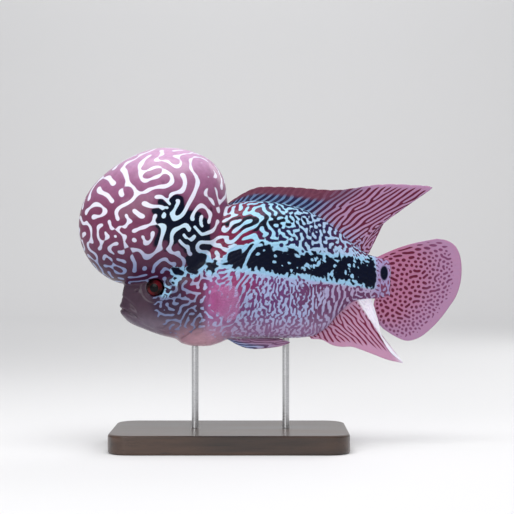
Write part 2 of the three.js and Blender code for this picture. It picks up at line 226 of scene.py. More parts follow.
@dataclass(frozen=True)
class BodyShape:
    """Head, trunk and hump as the solid |y| <= sqrt(S(x, z)), with S the square of the half width.

    The trunk's S is w^2 (1 - |t|^p), with w the half width at x and t the share of the way from the
    widest height to the back or the belly. The hump's S is w^2 (1 - (r / R)^p), with R the radius of
    its outline in that direction. The larger of the two counts, rounded where they cross.
    """

    back: Table = (
        (0, 30.4), (0.9, 38.6), (3, 46.9), (10.5, 54.4), (29.3, 68.6), (51.8, 89.6), (70.5, 101.5),
        (85.5, 107.6), (100.5, 109.5), (119.3, 108), (138, 103), (156.8, 92.6), (173.3, 78.4),
        (185.3, 69.8), (194.3, 67.3), (202, 66.4),
    )
    belly: Table = (
        (0, 26.6), (2.3, 22), (6.8, 17.6), (18, 12.6), (30.8, 8), (41.3, 5.3), (46.5, 1.9), (55.5, 0.1),
        (65.3, 0.1), (74.3, 2.4), (81, 5), (96.8, 5.8), (126.8, 6), (141.8, 7), (153, 12.6),
        (164.3, 24.6), (173.3, 32.6), (181, 34.9), (191.3, 35.6), (202, 36.2),
    )
    widest: Table = ((0, 28.5), (15, 31), (40, 36), (70, 48), (110, 54), (150, 53), (202, 51))
    half_width: Table = (
        (0, 2.6), (1, 5.6), (3, 8), (8, 11), (15, 13.8), (27, 18.2), (40, 22.2), (55, 25.4), (75, 27),
        (95, 26.4), (115, 24), (135, 19.8), (155, 14.2), (172, 9.6), (185, 6.6), (195, 4.3), (202, 2.6),
    )
    rounding: Table = ((0, 2.2), (35, 2.3), (65, 3), (95, 2.8), (150, 2.2), (202, 2.2))
    belly_rounding: float = 2.4
    end_fall: float = 26.0
    hump_x: float = 26.4
    hump_z: float = 96.6
    hump_half_width: float = 39.0
    hump_power: float = 2.2
    hump_outline: Sequence[float] = (
        56, 55.8, 59.2, 59.8, 57.1, 54.4, 52.1, 50, 49.1, 49.9, 52.2, 55.1,
        57.4, 59, 59.5, 58.8, 56.6, 52.8, 51, 53.6, 57.6, 60.4, 61.8, 60,
    )
    crease: float = 60.0
    inset: float = 0.35

    def trunk(self, x: Array, z: Array) -> Array:
        """Square of the half width of head and trunk, negative outside their outline.

        Args:
            x: Distance behind the snout.
            z: Height.

        Returns:
            The square in square millimetres.
        """
        along = np.clip(x, 0, BODY_END)
        middle = smooth_line(self.widest)(along)
        above = z > middle
        top, bottom = smooth_line(self.back)(along), smooth_line(self.belly)(along)
        share = np.abs(z - middle) / np.where(above, top - middle, middle - bottom)
        power = np.where(above, smooth_line(self.rounding)(along), self.belly_rounding)
        full = smooth_line(self.half_width)(along) ** 2
        return full * (1 - share**power) - self.end_fall * np.abs(x - along)

    def hump(self, x: Array, z: Array) -> Array:
        """Square of the half width of the hump, negative outside its outline.

        Args:
            x: Distance behind the snout.
            z: Height.

        Returns:
            The square in square millimetres.
        """
        dx, dz = x - self.hump_x, z - self.hump_z
        turn = np.arctan2(dz, dx) / (2 * np.pi)
        reach = spline(self.hump_outline, turn, closed=True)
        return self.hump_half_width**2 * (1 - (np.hypot(dx, dz) / reach) ** self.hump_power)

    def joined(self, x: Array, z: Array) -> Array:
        """The larger of trunk and hump plus (reach - gap)^2 / 4 reach where their gap is under reach.

        Args:
            x: Distance behind the snout.
            z: Height.

        Returns:
            The square in square millimetres.
        """
        a, b = self.trunk(x, z), self.hump(x, z)
        near = np.maximum(self.crease - np.abs(a - b), 0) / self.crease
        return np.maximum(a, b) + near * near * self.crease / 4

    def square(self, x: Array, z: Array) -> Array:
        """Square of the half width of the skin: the solid's, moved inwards by the inset.

        Args:
            x: Distance behind the snout.
            z: Height.

        Returns:
            The square in square millimetres.
        """
        here = self.joined(x, z)
        step = 0.05
        along_x = (self.joined(x + step, z) - self.joined(x - step, z)) / (2 * step)
        along_z = (self.joined(x, z + step) - self.joined(x, z - step)) / (2 * step)
        steep = np.sqrt(along_x**2 + along_z**2 + 4 * np.maximum(here, 0))
        return here - self.inset * steep

    def hump_share(self, x: Array, z: Array) -> Array:
        """0 on head and trunk, 1 on the hump, with a soft change along the crease."""
        return smoothstep(-90, 90, self.hump(x, z) - self.trunk(x, z))


@dataclass
class SkinGrid:
    """The whole skin as rings of points, one ring for each section line.

    Section lines lean back over the snout, x = station + lean z, so that each crosses hump and face
    once. Points are spaced evenly along a line by distance on the skin times a density that is
    higher on the face, and lines are spaced so that no point moves further than the rest.
    """

    shape: BodyShape = field(default_factory=BodyShape)
    rows: int = 664
    columns: int = 300
    lean: float = 0.7
    lean_from: float = -20.0
    lean_to: float = 150.0
    z_from: float = -10.0
    z_to: float = 156.0
    probes: int = 500
    fine: int = 701
    face_x: float = 18.0
    face_z: float = 34.0

    def line_x(self, station: Array, z: Array) -> Array:
        """x at height z on a section line, station + lean z."""
        share = np.clip((self.lean_to - station) / (self.lean_to - self.lean_from), 0, 1)
        return station + self.lean * share * z

    def density(self, x: Array, z: Array) -> Array:
        """How closely points stand, 1 on the body and more round the eye and mouth."""
        face = bump(np.hypot(x - self.face_x, z - self.face_z), 24)
        return 1 + face - 0.25 * smoothstep(66, 90, x)

    def inside(self, station: Array, z: Array) -> Array:
        """Whether points of section lines lie within the outline."""
        return self.shape.square(self.line_x(station, z), z) > 0

    def ends(self, station: Array) -> tuple[Array, Array]:
        """Lowest and highest z of the skin on each section line, found by halving.

        Args:
            station: Stations of the lines.

        Returns:
            Lowest and highest z, one of each for each station.
        """
        z = np.linspace(self.z_from, self.z_to, self.probes)
        hit = self.inside(station[:, None], z[None])
        first = hit.argmax(1)
        last = hit.shape[1] - 1 - hit[:, ::-1].argmax(1)
        limits = []
        for inner, outer in ((z[first], z[first - 1]), (z[last], z[(last + 1) % len(z)])):
            for _ in range(30):
                half = (inner + outer) / 2
                good = self.inside(station, half)
                inner, outer = np.where(good, half, inner), np.where(good, outer, half)
            limits.append(inner)
        return limits[0], limits[1]

    def limit(self, outer: float, inner: float) -> float:
        """Station of the last line that still touches the body, found by halving.

        Args:
            outer: Station of a line clear of the body.
            inner: Station of a line that crosses it.

        Returns:
            The station.
        """
        z = np.linspace(self.z_from, self.z_to, self.probes)
        for _ in range(26):
            half = (outer + inner) / 2
            if self.inside(np.full(z.shape, half), z).any():
                inner = half
            else:
                outer = half
        return inner

    def sections(self, station: Array, columns: int) -> Array:
        """Points from belly to back on one side of each section line.

        Args:
            station: Stations of the lines.
            columns: Spaces between points on a line.

        Returns:
            Points with y >= 0, shape (stations, columns + 1, 3).
        """
        low, high = self.ends(station)
        fine = np.linspace(0, 1, self.fine)
        z = low[:, None] + (high - low)[:, None] * (1 - np.cos(np.pi * fine)) / 2
        x = self.line_x(station[:, None], z)
        y = np.sqrt(np.maximum(self.shape.square(x, z), 0))
        y[:, 0] = y[:, -1] = 0
        trail = np.stack([x, y, z], -1)
        step = np.linalg.norm(np.diff(trail, axis=1), axis=2) * self.density(x, z)[:, 1:]
        run = np.concatenate([np.zeros((len(x), 1)), np.cumsum(step, 1)], 1)
        run /= np.maximum(run[:, -1:], 1e-9)
        even = np.linspace(0, 1, columns + 1)
        at = np.array([np.interp(even, one, fine) for one in run]) * (len(fine) - 1)
        i = np.minimum(at.astype(int), len(fine) - 2)
        part = (at - i)[..., None]
        line = np.arange(len(x))[:, None]
        return trail[line, i] * (1 - part) + trail[line, i + 1] * part

    def rings(self) -> Array:
        """All rings, from the front of the hump to the end of the tail stalk.

        Returns:
            Points, shape (rows + 1, 2 columns, 3): up the left flank from the belly, down the right.
        """
        start, end = self.limit(-110.0, -40.0), self.limit(BODY_END + 5.0, 190.0)
        trial = start + (end - start) * np.linspace(0, 1, 1400) ** 1.6
        trail = self.sections(trial, 60)
        middle = (trail[1:] + trail[:-1]) / 2
        density = self.density(middle[..., 0], middle[..., 2])
        moved = np.linalg.norm(np.diff(trail, axis=0), axis=2) * density
        run = np.concatenate([[0], np.cumsum(np.sqrt((moved**2).mean(1)) + 0.3 * moved.max(1))])
        station = np.interp(np.linspace(0, run[-1], self.rows + 1), run, trial)
        side = self.sections(station, self.columns)
        side[0], side[-1] = side[0].mean(0) * [1, 0, 1], side[-1].mean(0) * [1, 0, 1]
        left = side * [1, -1, 1]
        return np.concatenate([left[:, :-1], side[:, :0:-1]], 1)


def ring_normals(points: Array) -> Array:
    """Unit normals of rings: the cross product of the steps to the neighbours on either side.

    Args:
        points: Rings of points, shape (rows, ring, 3), each ring closed.

    Returns:
        Outward normals of the same shape.
    """
    along = np.gradient(points, axis=0)
    around = (np.roll(points, -1, 1) - np.roll(points, 1, 1)) / 2
    normal = np.cross(along, around)
    size = np.linalg.norm(normal, axis=2, keepdims=True)
    normal = normal / np.maximum(size, 1e-9)
    normal[0], normal[-1] = [-1, 0, 0], [1, 0, 0]
    return normal


# Features of the face and gill cover, as lines of the side view
MOUTH = ((-4, 28.2), (0, 28.4), (3, 27.6), (7, 25.8), (11, 23.6), (14.6, 21.2))
JAW_FOLD = ((14.6, 21.2), (17, 17), (24, 13.2), (34, 10.4))
LIP_FOLD = ((-2, 38.2), (3.5, 36.8), (8.5, 33), (12.4, 28.2), (15.2, 22.6))
COVER_EDGE = (
    (47, 56.5), (56, 58.5), (62.8, 55), (66, 47), (66.8, 38), (64.6, 27), (59.4, 16.6), (50, 9.4),
    (42, 4.4),
)
CHEEK_EDGE = ((42.5, 52), (45.2, 42), (44.6, 31), (41, 21), (33, 14.4), (22, 14.2))


@dataclass(frozen=True)
class Fold:
    """Bells across a line of the side view, each (height, offset, width), and a step down over it."""

    line: Table
    bells: Table
    fade_in: float = 0.0
    fade_out: float = 1.0
    step: float = 0.0

    def height(self, x: Array, z: Array) -> Array:
        """Sum of height exp(-((distance - offset) / width)^2) and the step, faded at the line's ends.

        Args:
            x: Distance behind the snout.
            z: Height.

        Returns:
            Height along the normal, in millimetres.
        """
        away, share = line_distance(x, z, self.line)
        fade = 1 - smoothstep(self.fade_out, 1.0, share)
        if self.fade_in:
            fade = fade * smoothstep(0.0, self.fade_in, share)
        step = self.step * smoothstep(5.5, 0.3, -away) * smoothstep(0.5, -0.2, away)
        return fade * (step + sum(high * bump(away - offset, wide) for high, offset, wide in self.bells))


FOLDS = (
    Fold(MOUTH, ((0.85, 2.4, 1.9), (0.75, -2.5, 2.0), (-1.9, 0, 0.75)), fade_out=0.86),
    Fold(LIP_FOLD, ((-0.55, 0, 0.9), (-0.25, -2.0, 2.4)), fade_in=0.15, fade_out=0.85),
    Fold(JAW_FOLD, ((-0.5, 0, 0.9),), fade_out=0.6),
    Fold(COVER_EDGE, ((-0.55, 0.7, 0.8),), fade_in=0.12, fade_out=0.9, step=0.9),
    Fold(CHEEK_EDGE, ((0.35, -1.4, 1.6), (-0.35, 0.3, 0.9)), fade_in=0.2, fade_out=0.8),
)


@dataclass(frozen=True)
class FaceRelief:
    """Height added to the skin for lips, folds, gill cover, eye socket and nostril."""

    eye_x: float = 27.6
    eye_z: float = 44.6
    eye_radius: float = 6.4
    nostril_x: float = 13.2
    nostril_z: float = 42.2

    def height(self, x: Array, z: Array) -> Array:
        """Sum of the folds, two rings and a hollow at the eye, and a ring and a pit at the nostril.

        Args:
            x: Distance behind the snout.
            z: Height.

        Returns:
            Height along the normal, in millimetres.
        """
        h = sum(fold.height(x, z) for fold in FOLDS)
        ring = np.hypot(x - self.eye_x, z - self.eye_z) - self.eye_radius
        h = h + 0.75 * bump(ring - 1.3, 1.25) - 0.3 * bump(ring - 4.0, 1.2)
        h -= 2.6 * smoothstep(0.7, -1.3, ring)
        nostril = np.hypot(x - self.nostril_x, z - self.nostril_z)
        return h + 0.35 * bump(nostril - 1.5, 0.8) - 1.0 * bump(nostril, 0.8)


# Patterns that grow on the skin
NEAR_SPREAD = 0.0135
FAR_SPREAD = 0.036
SHARPNESS = 2.4
LAST_ROUNDS = 5
END_SPREAD = 1.2
END_DEVIATION = 0.47
THIN_RING = 0.35


@dataclass
class GridFlow:
    """Spreading of a value over a grid of triangles, by cotangent weights.

    Each vertex trades with six neighbours: along its row, up its column, and one diagonal. A weight
    is half the sum of the cotangents of the two angles that face the edge.
    """

    points: Array
    closed: bool = True

    def __post_init__(self) -> None:
        """Works out the weights of the three kinds of edge and each vertex's area."""
        p = self.points
        if not self.closed:
            p = np.concatenate([p, p[:, -1:] * 2 - p[:, -2:-1]], 1)
        q = np.roll(p, -1, 1) if self.closed else p[:, 1:]
        p = p if self.closed else p[:, :-1]
        a, b, c, d = p[:-1], q[:-1], p[1:], q[1:]
        lower, upper = self._cotangents(a, b, d), self._cotangents(a, d, c)
        self.row, self.column, self.cross = (np.zeros(p.shape[:2], np.float32) for _ in range(3))
        self.row[:-1] += lower[2]
        self.row[1:] += upper[0]
        self.column[:-1] += upper[1] + np.roll(lower[0], 1, 1)
        self.cross[:-1] = lower[1] + upper[2]
        cell = np.zeros(p.shape[:2], np.float32)
        for one, two, three in ((a, b, d), (a, d, c)):
            cell[:-1] += np.linalg.norm(np.cross(two - one, three - one), axis=2) / 2
        cell = (cell + np.roll(cell, 1, 1)) / 2
        self.area = np.maximum((cell + np.roll(cell, 1, 0)) / 2, 1e-5)
        if not self.closed:
            self.row[:, -1] = self.cross[:, -1] = 0
        self.column[-1] = self.cross[-1] = 0
        ring = np.linalg.norm(np.roll(p, -1, 1) - p, axis=2).sum(1)
        self.thin = np.flatnonzero(ring / p.shape[1] < THIN_RING) if self.closed else np.zeros(0, int)
        waves = 2 * np.pi * np.arange(p.shape[1] // 2 + 1)
        self.turns = (waves / np.maximum(ring, 1e-3)[self.thin, None]) ** 2
        self.row[self.thin] = self.cross[self.thin] = 0
        for weight in (self.row, self.column, self.cross):
            np.maximum(weight, 0, out=weight)

    @staticmethod
    def _cotangents(a: Array, b: Array, c: Array) -> tuple[Array, Array, Array]:
        """Half cotangents at the corners of triangles.

        Args:
            a: First corners.
            b: Second corners.
            c: Third corners.

        Returns:
            The values at the first, second and third corners.
        """

        def half(p: Array, q: Array, r: Array) -> Array:
            """Half the cotangent of the angle at p."""
            u, v = q - p, r - p
            return 0.5 * (u * v).sum(-1) / np.maximum(np.linalg.norm(np.cross(u, v), axis=-1), 1e-6)

        return half(a, b, c), half(b, c, a), half(c, a, b)

    def spread(self, value: Array, amount: Array, steps: int) -> Array:
        """Spreads a value as heat does, for a total time of amount, in equal steps.

        A step gives f (1 - s) + r sum w g, with g the neighbours, r the time per step and area and
        s = r sum w, held under 0.9 where cells are too thin for the step. On short rings near a
        pole, each wave round the ring fades as exp(-time (2 pi n / length)^2) instead.

        Args:
            value: Value at each vertex.
            amount: Total time, in square millimetres, at each vertex.
            steps: Number of equal steps.

        Returns:
            The spread value.
        """
        row_in = np.roll(self.row, 1, 1)
        column_in = np.roll(self.column, 1, 0)
        cross_in = np.roll(np.roll(self.cross, 1, 0), 1, 1)
        total = self.row + row_in + self.column + column_in + self.cross + cross_in
        rate = (amount / steps / self.area).astype(np.float32)
        rate = np.minimum(rate, 0.9 / np.maximum(total, 1e-6))
        keep = 1 - rate * total
        weights = [rate * w for w in (self.row, row_in, self.column, column_in, self.cross, cross_in)]
        time = np.broadcast_to(amount, self.area.shape)[self.thin].mean(1)[:, None] / steps
        fade = np.exp(-time * self.turns)
        f = value.astype(np.float32)
        for _ in range(steps):
            up, down = np.roll(f, -1, 0), np.roll(f, 1, 0)
            g = weights[0] * np.roll(f, -1, 1) + weights[1] * np.roll(f, 1, 1)
            g += weights[2] * up + weights[3] * down
            g += weights[4] * np.roll(up, -1, 1) + weights[5] * np.roll(down, 1, 1)
            f = keep * f + g
            if len(self.thin):
                waves = np.fft.rfft(f[self.thin], axis=1) * fade
                f[self.thin] = np.fft.irfft(waves, f.shape[1], axis=1)
        return f

    def worms(
        self, wavelength: Array, bias: Array | float, late: Array | float, rounds: int, seed: int,
        steps: int = 60, along: Array | float = 1.0,
    ) -> Array:
        """Winding lines that grow from noise, as on the skin of many fishes.

        Each round takes the value spread a little, less the value spread further, and sharpens it
        with tanh, so marks of one spacing win over all others. The end result is softened again.

        Args:
            wavelength: Spacing of the lines in millimetres, at each vertex.
            bias: Added in each round; above 0 makes the lines wider than the gaps.
            late: Takes the place of bias in the last five rounds.
            rounds: Number of rounds.
            seed: Seed of the starting noise.
            steps: Steps of the wide spread.
            along: Share of the wide spread that runs along rows; under 1 the lines follow the rows.

        Returns:
            The pattern, of about unit deviation.
        """
        scale = wavelength.astype(np.float32) ** 2
        f = np.random.default_rng(seed).normal(size=self.area.shape) * np.sqrt(scale / self.area)
        near, far = scale * NEAR_SPREAD, scale * FAR_SPREAD
        wide = copy.copy(self)
        wide.row = self.row * np.float32(along)
        for turn in range(rounds):
            inner = self.spread(f, near, max(steps // 3, 4))
            gap = inner - wide.spread(inner, far, steps)
            height = np.sqrt(np.average(gap * gap, weights=self.area))
            f = np.tanh(SHARPNESS * gap / height + (bias if turn < rounds - LAST_ROUNDS else late))
        return self.spread(f, near * END_SPREAD, steps // 2) / END_DEVIATION

    def patches(self, size: float, seed: int) -> Array:
        """Soft patches, as noise spread for a time of size^2 / 14 and brought to unit deviation.

        Args:
            size: Rough width of a patch in millimetres.
            seed: Seed of the noise.

        Returns:
            The patches.
        """
        noise = np.random.default_rng(seed).normal(size=self.area.shape)
        noise /= np.sqrt(self.area)
        steps = max(60, round(1.4 * size * size))
        patch = self.spread(noise, np.full(noise.shape, size * size / 14), steps)
        return patch / patch.std()


@dataclass
class Marks:
    """Colours and marks at points of the fish, each mark a value that shows where it is over 0."""

    base: Array
    line: Array
    worm: Array
    black: Array

    def at(self, sample: Callable[[Array], Array]) -> Marks:
        """The same marks at other points, given a function that samples one field there."""
        return Marks(sample(self.base), sample(self.line), sample(self.worm), sample(self.black))


BAND_LINE = ((78, 64.5), (90, 66.5), (105, 66), (125, 63.5), (150, 59.5), (190, 54.8))
BAND_HALF = ((0, 0.5), (0.05, 3.2), (0.12, 6.2), (0.3, 7.6), (0.5, 9.4), (0.75, 8.8), (1, 9.6))
BAND_END = 190.5
EYE_BAR = ((42.5, 56.2), (54, 56.2), (58.5, 60.5), (62, 66.5))
BLACK_DOTS = ((68.6, 60.2, 4.2), (79.6, 62.4, 2.7))
RINGED_DOTS = ((34.6, 42.2, 2.9), (43.4, 50.2, 2.4))
TAIL_SPOT = (197.4, 55.1)
TAIL_SPOT_REACH = (3.0, 5.6)
FLUSH = (75, 36)


def tail_spot(x: Array, z: Array) -> Array:
    """Depth inside the oval black spot at the tail's root, 1 in the middle and 0 at its edge."""
    return 1 - np.hypot((x - TAIL_SPOT[0]) / TAIL_SPOT_REACH[0], (z - TAIL_SPOT[1]) / TAIL_SPOT_REACH[1])


@dataclass
class SkinMarks:
    """Colours of head, hump and trunk, and the winding lines and black band over them."""

    grid: Array
    seed: int = 11
    rounds: int = 26
    steps: int = 72
    patch_limit: float = 1.9

    def __post_init__(self) -> None:
        """Works out where hump, face, flank and the black region at the hump's rear lie; that region's third
        oval, in the crease between hump and nape, is partly painted crease shade.
        """
        x, z = self.grid[..., 0], self.grid[..., 2]
        self.x, self.z = x, z
        self.hump = BodyShape().hump_share(x, z)
        self.face = smoothstep(30, 21, x + 0.1 * np.maximum(z - 25, 0) + 0.75 * np.minimum(z - 25, 0))
        self.flank = smoothstep(66, 56, z) * smoothstep(60, 80, x)
        dark = np.maximum(self.spot((41, 93), (13, 19)), self.spot((55, 84), (14, 17)))
        # The third oval lies in the crease between hump and nape: partly real black, partly painted crease
        # shade.
        self.shadow = np.maximum(dark, 0.95 * self.spot((64, 70), (12, 11)))

    def spot(self, centre: tuple[float, float], reach: tuple[float, float]) -> Array:
        """Soft oval of the side view, exp(-(dx / A)^2 - (dz / B)^2) with A and B its reach."""
        return np.exp(-(((self.x - centre[0]) / reach[0]) ** 2) - ((self.z - centre[1]) / reach[1]) ** 2)

    def wavelength(self) -> Array:
        """Spacing of the winding lines, wide on the hump and narrow on the flank.

        Returns:
            The spacing in millimetres.
        """
        x, z = self.x, self.z
        trunk = mix(4.1, 3.3, smoothstep(60, 84, x))
        trunk = mix(trunk, 4.4, smoothstep(62, 72, z) * smoothstep(60, 70, x))
        crown = mix(mix(7.5, 5.6, self.shadow), 6.4, smoothstep(74, 56, z))
        return mix(trunk, crown, self.hump)

    def lines(self, flow: GridFlow) -> Array:
        """Grows the winding lines; they stand taller than long on the flank.

        Args:
            flow: Spreading over the skin.

        Returns:
            The pattern, high on the lines.
        """
        hump = self.hump
        upright = 1 - 0.65 * smoothstep(76, 96, self.x) * smoothstep(66, 54, self.z) * (1 - hump)
        uneven = 1 + mix(0.07, 0.11, hump) * np.clip(flow.patches(14.0, self.seed + 3), -2, 2)
        bias, late = mix(-0.04, -0.12, hump), mix(-0.04, -0.6, hump)
        spacing = self.wavelength() * uneven
        return flow.worms(spacing, bias, late, self.rounds, self.seed, self.steps, upright)

    def band(self) -> Array:
        """Depth inside the black band, the bar behind the eye and the dots.

        Returns:
            The depth in millimetres, negative outside.
        """
        x, z = self.x, self.z
        away, share = line_distance(x, z, BAND_LINE)
        flank = smooth_line(BAND_HALF)(share) - np.abs(away) - 30 * smoothstep(0.999, 1.0, 1 - share)
        flank = np.minimum(flank, 1.3 * (BAND_END - x))
        away, share = line_distance(x, z, EYE_BAR)
        depth = np.maximum(flank, 2.4 + 1.5 * smoothstep(0.1, 0.6, share) - np.abs(away))
        depth = np.maximum(depth, 3.2 * tail_spot(x, z))
        for dot_x, dot_z, radius in BLACK_DOTS + RINGED_DOTS:
            depth = np.maximum(depth, radius - np.hypot(x - dot_x, z - dot_z))
        return depth - 20 * self.hump * smoothstep(4.0, 6.0, np.abs(away))

    def base(self) -> Array:
        """Ground colour between the lines, laid region by region from the flank to the hump, with a painted
        highlight on the hump's top and painted shade on its lower part.

        Returns:
            Linear colours.
        """
        x, z = self.x, self.z
        back = layered(
            (108, 24, 62), ((36, 30, 70), smoothstep(94, 114, x)), ((84, 42, 74), smoothstep(150, 172, x))
        )
        crown = layered(
            (114, 58, 88),
            # Painted highlight: the hump's ground grows paler towards its top and near white at the very
            # top.
            ((144, 94, 128), smoothstep(96, 124, z)),
            ((204, 164, 200), 0.85 * smoothstep(120, 148, z)),
            # Painted shade: the hump's ground darker towards its lower part.
            ((48, 18, 46), 0.85 * smoothstep(88, 56, z)),
            ((58, 26, 56), np.clip(2.0 * self.shadow - 0.3, 0, 1)),
        )
        return layered(
            (100, 58, 110),
            ((100, 58, 96), smoothstep(110, 150, x)),
            ((142, 108, 146), smoothstep(32, 8, z)),
            ((136, 44, 92), self.spot((88, 48), (16, 10))),
            (back, smoothstep(56, 70, z + 0.14 * (x - 80))),
            ((116, 60, 92), smoothstep(186, 196, x)),
            ((200, 116, 172), 0.9 * self.spot(FLUSH, (12, 14))),
            ((38, 22, 42), 0.9 * smoothstep(68, 60, x)),
            ((122, 36, 78), 0.7 * self.spot((58, 46), (8, 10))),
            ((72, 54, 68), self.face),
            ((110, 98, 114), 0.9 * smoothstep(30, 14, z) * smoothstep(56, 28, x)),
            ((208, 162, 178), 0.95 * self.spot((61, 2), (22, 12))),
            (crown, self.hump),
        )

    def line_colour(self, depth: Array) -> Array:
        """Colour of the lines: cyan over the back, lavender below, near white on the hump, and darker on the
        hump's lower part as painted shade.

        Args:
            depth: Depth inside the black band.

        Returns:
            Linear colours.
        """
        x, z = self.x, self.z
        crown = layered(
            (224, 222, 240),
            ((196, 222, 240), np.clip(2 * self.shadow - 0.4, 0, 1)),
            # Painted shade: the hump's lines darker towards its lower part.
            ((124, 136, 176), smoothstep(88, 56, z)),
        )
        return layered(
            (160, 172, 212),
            ((156, 204, 232), smoothstep(50, 62, z)),
            ((160, 186, 218), smoothstep(120, 150, x) * smoothstep(60, 68, z)),
            ((196, 208, 228), smoothstep(96, 76, x) * smoothstep(56, 62, z)),
            ((170, 154, 190), smoothstep(130, 170, x) * smoothstep(60, 50, z)),
            ((174, 158, 194), smoothstep(26, 10, z)),
            ((98, 108, 142), 0.85 * smoothstep(66, 58, x)),
            ((184, 176, 208), 0.7 * self.spot((60, 46), (8, 10))),
            ((156, 140, 184), smoothstep(188, 193, x)),
            (crown, self.hump),
            ((146, 190, 222), smoothstep(-3, -1, depth) * smoothstep(193, 188, x)),
        )

    def threshold(self) -> Array:
        """Value over which the pattern shows as a line, higher where the skin is plainer.

        Returns:
            The threshold.
        """
        crown = 0.36 - 0.4 * self.shadow + 0.2 * smoothstep(126, 146, self.z)
        limit = mix(mix(0.12, 0.05, self.flank), crown, self.hump)
        limit = mix(limit, 0.5, smoothstep(70, 60, self.x) * (1 - self.hump))
        limit = limit - 0.5 * smoothstep(186, 196, self.x)
        return limit + 2.0 * self.spot((64.5, 132), (6, 6)) + 1.2 * self.spot((69, 118), (4, 6))

    def blackness(self, ragged: Array, rest: Array, worm: Array, coarse: Array, fine: Array) -> Array:
        """Black of band, bar and dots, broken by blue inlets, and that between the hump's lines.

        Args:
            ragged: Depth inside the black, with a ragged edge.
            rest: How far the pattern is under its threshold.
            worm: The winding lines.
            coarse: Soft patches about 5 mm across.
            fine: Soft patches about 3 mm across.

        Returns:
            A value over 0 where the skin is black.
        """
        x, z = self.x, self.z
        inside = smoothstep(72, 80, x) * smoothstep(182, 170, x)
        rare = coarse - 1.0 + 0.75 * smoothstep(122, 134, x) * smoothstep(172, 160, x)
        inlet = np.minimum(worm - 0.45, rare) + 2 * bump(x - 95.5 - 0.5 * (z - 66), 1.6)
        black = np.clip(0.5 * ragged, -1, 1) - 4 * np.maximum(inlet, 0) * inside
        black -= 6 * np.maximum(fine - 1.3, 0) * smoothstep(0.5, 2.0, ragged) * inside
        for dot_x, dot_z, _ in RINGED_DOTS:
            black -= 3 * bump(np.hypot(x - dot_x, z - dot_z), 0.9)
        stroke = 1.2 - np.hypot((x - 108) / 16, (z - 92.5 - 0.06 * (x - 108)) / 2.6) - 0.9 * worm
        # Black between the hump's lines follows self.shadow, so it also paints the crease shade as black.
        crown = np.minimum(4 * (self.shadow - 0.34) + 0.5 * coarse, 2 * rest - 0.1)
        return mix(np.maximum(black, stroke), np.maximum(black, crown), smoothstep(0.4, 0.6, self.hump))

    def build(self) -> Marks:
        """Works out all marks on the grid.

        Returns:
            The marks at each point of the rings.
        """
        x = self.x
        flow = GridFlow(self.grid)
        broad, coarse, fine = (
            np.clip(flow.patches(size, self.seed + k), -self.patch_limit, self.patch_limit)
            for k, size in ((5, 9.0), (1, 5.0), (2, 3.2))
        )
        worm, limit, depth = self.lines(flow), self.threshold(), self.band()
        rough = 1.1 * broad + 1.3 * coarse + 0.7 * fine - 1.2 * np.clip(worm, -1.2, 1.2)
        rough = rough * mix(0.7, 1, smoothstep(68, 80, x)) + 0.2 * smoothstep(80, 68, x)
        ragged = depth + rough * smoothstep(194, 188, x)
        quiet = self.face + 0.8 * self.spot((60, 2), (20, 9)) + 0.5 * self.spot(FLUSH, (10, 12))
        quiet = 3 * np.clip(quiet, 0, 1.2) * (1 - self.hump)
        shown = worm - limit - quiet - 0.5 * self.flank * np.maximum(fine, -0.6)
        thin = smoothstep(78, 68, x) + smoothstep(186, 193, x)
        rim = smoothstep(0, 0.9, ragged + mix(2.3, 1.2, thin) + 0.5 * fine)
        shown = np.where(ragged > 0.4, 1.2, mix(shown, 1.2, rim))
        black = self.blackness(ragged, limit - worm, worm, coarse, fine)
        return Marks(self.base(), self.line_colour(depth), shown, black)


# Meshes


def linked(name: str, data: bpy.types.ID) -> bpy.types.Object:
    """A new object of the data, linked into the scene."""
    made = bpy.data.objects.new(name, data)
    bpy.context.scene.collection.objects.link(made)
    return made


@dataclass
class MeshData:
    """Points in millimetres of the fish's frame, faces, and what the points carry."""

    points: Array
    quads: Array
    marks: Marks
    triangles: Array = field(default_factory=lambda: np.zeros((0, 3), int))
    values: dict[str, Array] = field(default_factory=dict)
    corner_map: Array | None = None

    def object(self, name: str, material: bpy.types.Material) -> bpy.types.Object:
        """Makes a smooth mesh object at the origin of the row frame.

        Args:
            name: Name of the piece.
            material: Its finish.

        Returns:
            The new object, linked into the scene.
        """
        mesh = bpy.data.meshes.new(name)
        place = to_row(self.points.reshape(-1, 3))
        corners = np.concatenate([self.quads.ravel(), self.triangles.ravel()])
        sizes = np.repeat([4, 3], [len(self.quads), len(self.triangles)])
        starts = np.concatenate([[0], np.cumsum(sizes)[:-1]])
        mesh.vertices.add(len(place))
        mesh.vertices.foreach_set("co", place.astype(np.float32).ravel())
        mesh.loops.add(len(corners))
        mesh.loops.foreach_set("vertex_index", corners.astype(np.int32))
        mesh.polygons.add(len(sizes))
        mesh.polygons.foreach_set("loop_start", starts.astype(np.int32))
        mesh.polygons.foreach_set("use_smooth", np.ones(len(sizes), bool))
        if self.corner_map is not None:
            layer = mesh.uv_layers.new(name=SKIN_MAP)
            layer.data.foreach_set("uv", self.corner_map.astype(np.float32).ravel())
        mesh.update(calc_edges=True)
        floats = self.values | {"worm": self.marks.worm, "black": self.marks.black}
        for key, value in floats.items():
            one = mesh.attributes.new(key, "FLOAT", "POINT")
            one.data.foreach_set("value", value.astype(np.float32).ravel())
        for key, colour in (("base", self.marks.base), ("line", self.marks.line)):
            one = mesh.attributes.new(key, "FLOAT_COLOR", "POINT")
            full = np.insert(colour.reshape(-1, 3), 3, 1.0, axis=1)
            one.data.foreach_set("color", full.astype(np.float32).ravel())
        mesh.validate()
        mesh.materials.append(material)
        return linked(name, mesh)


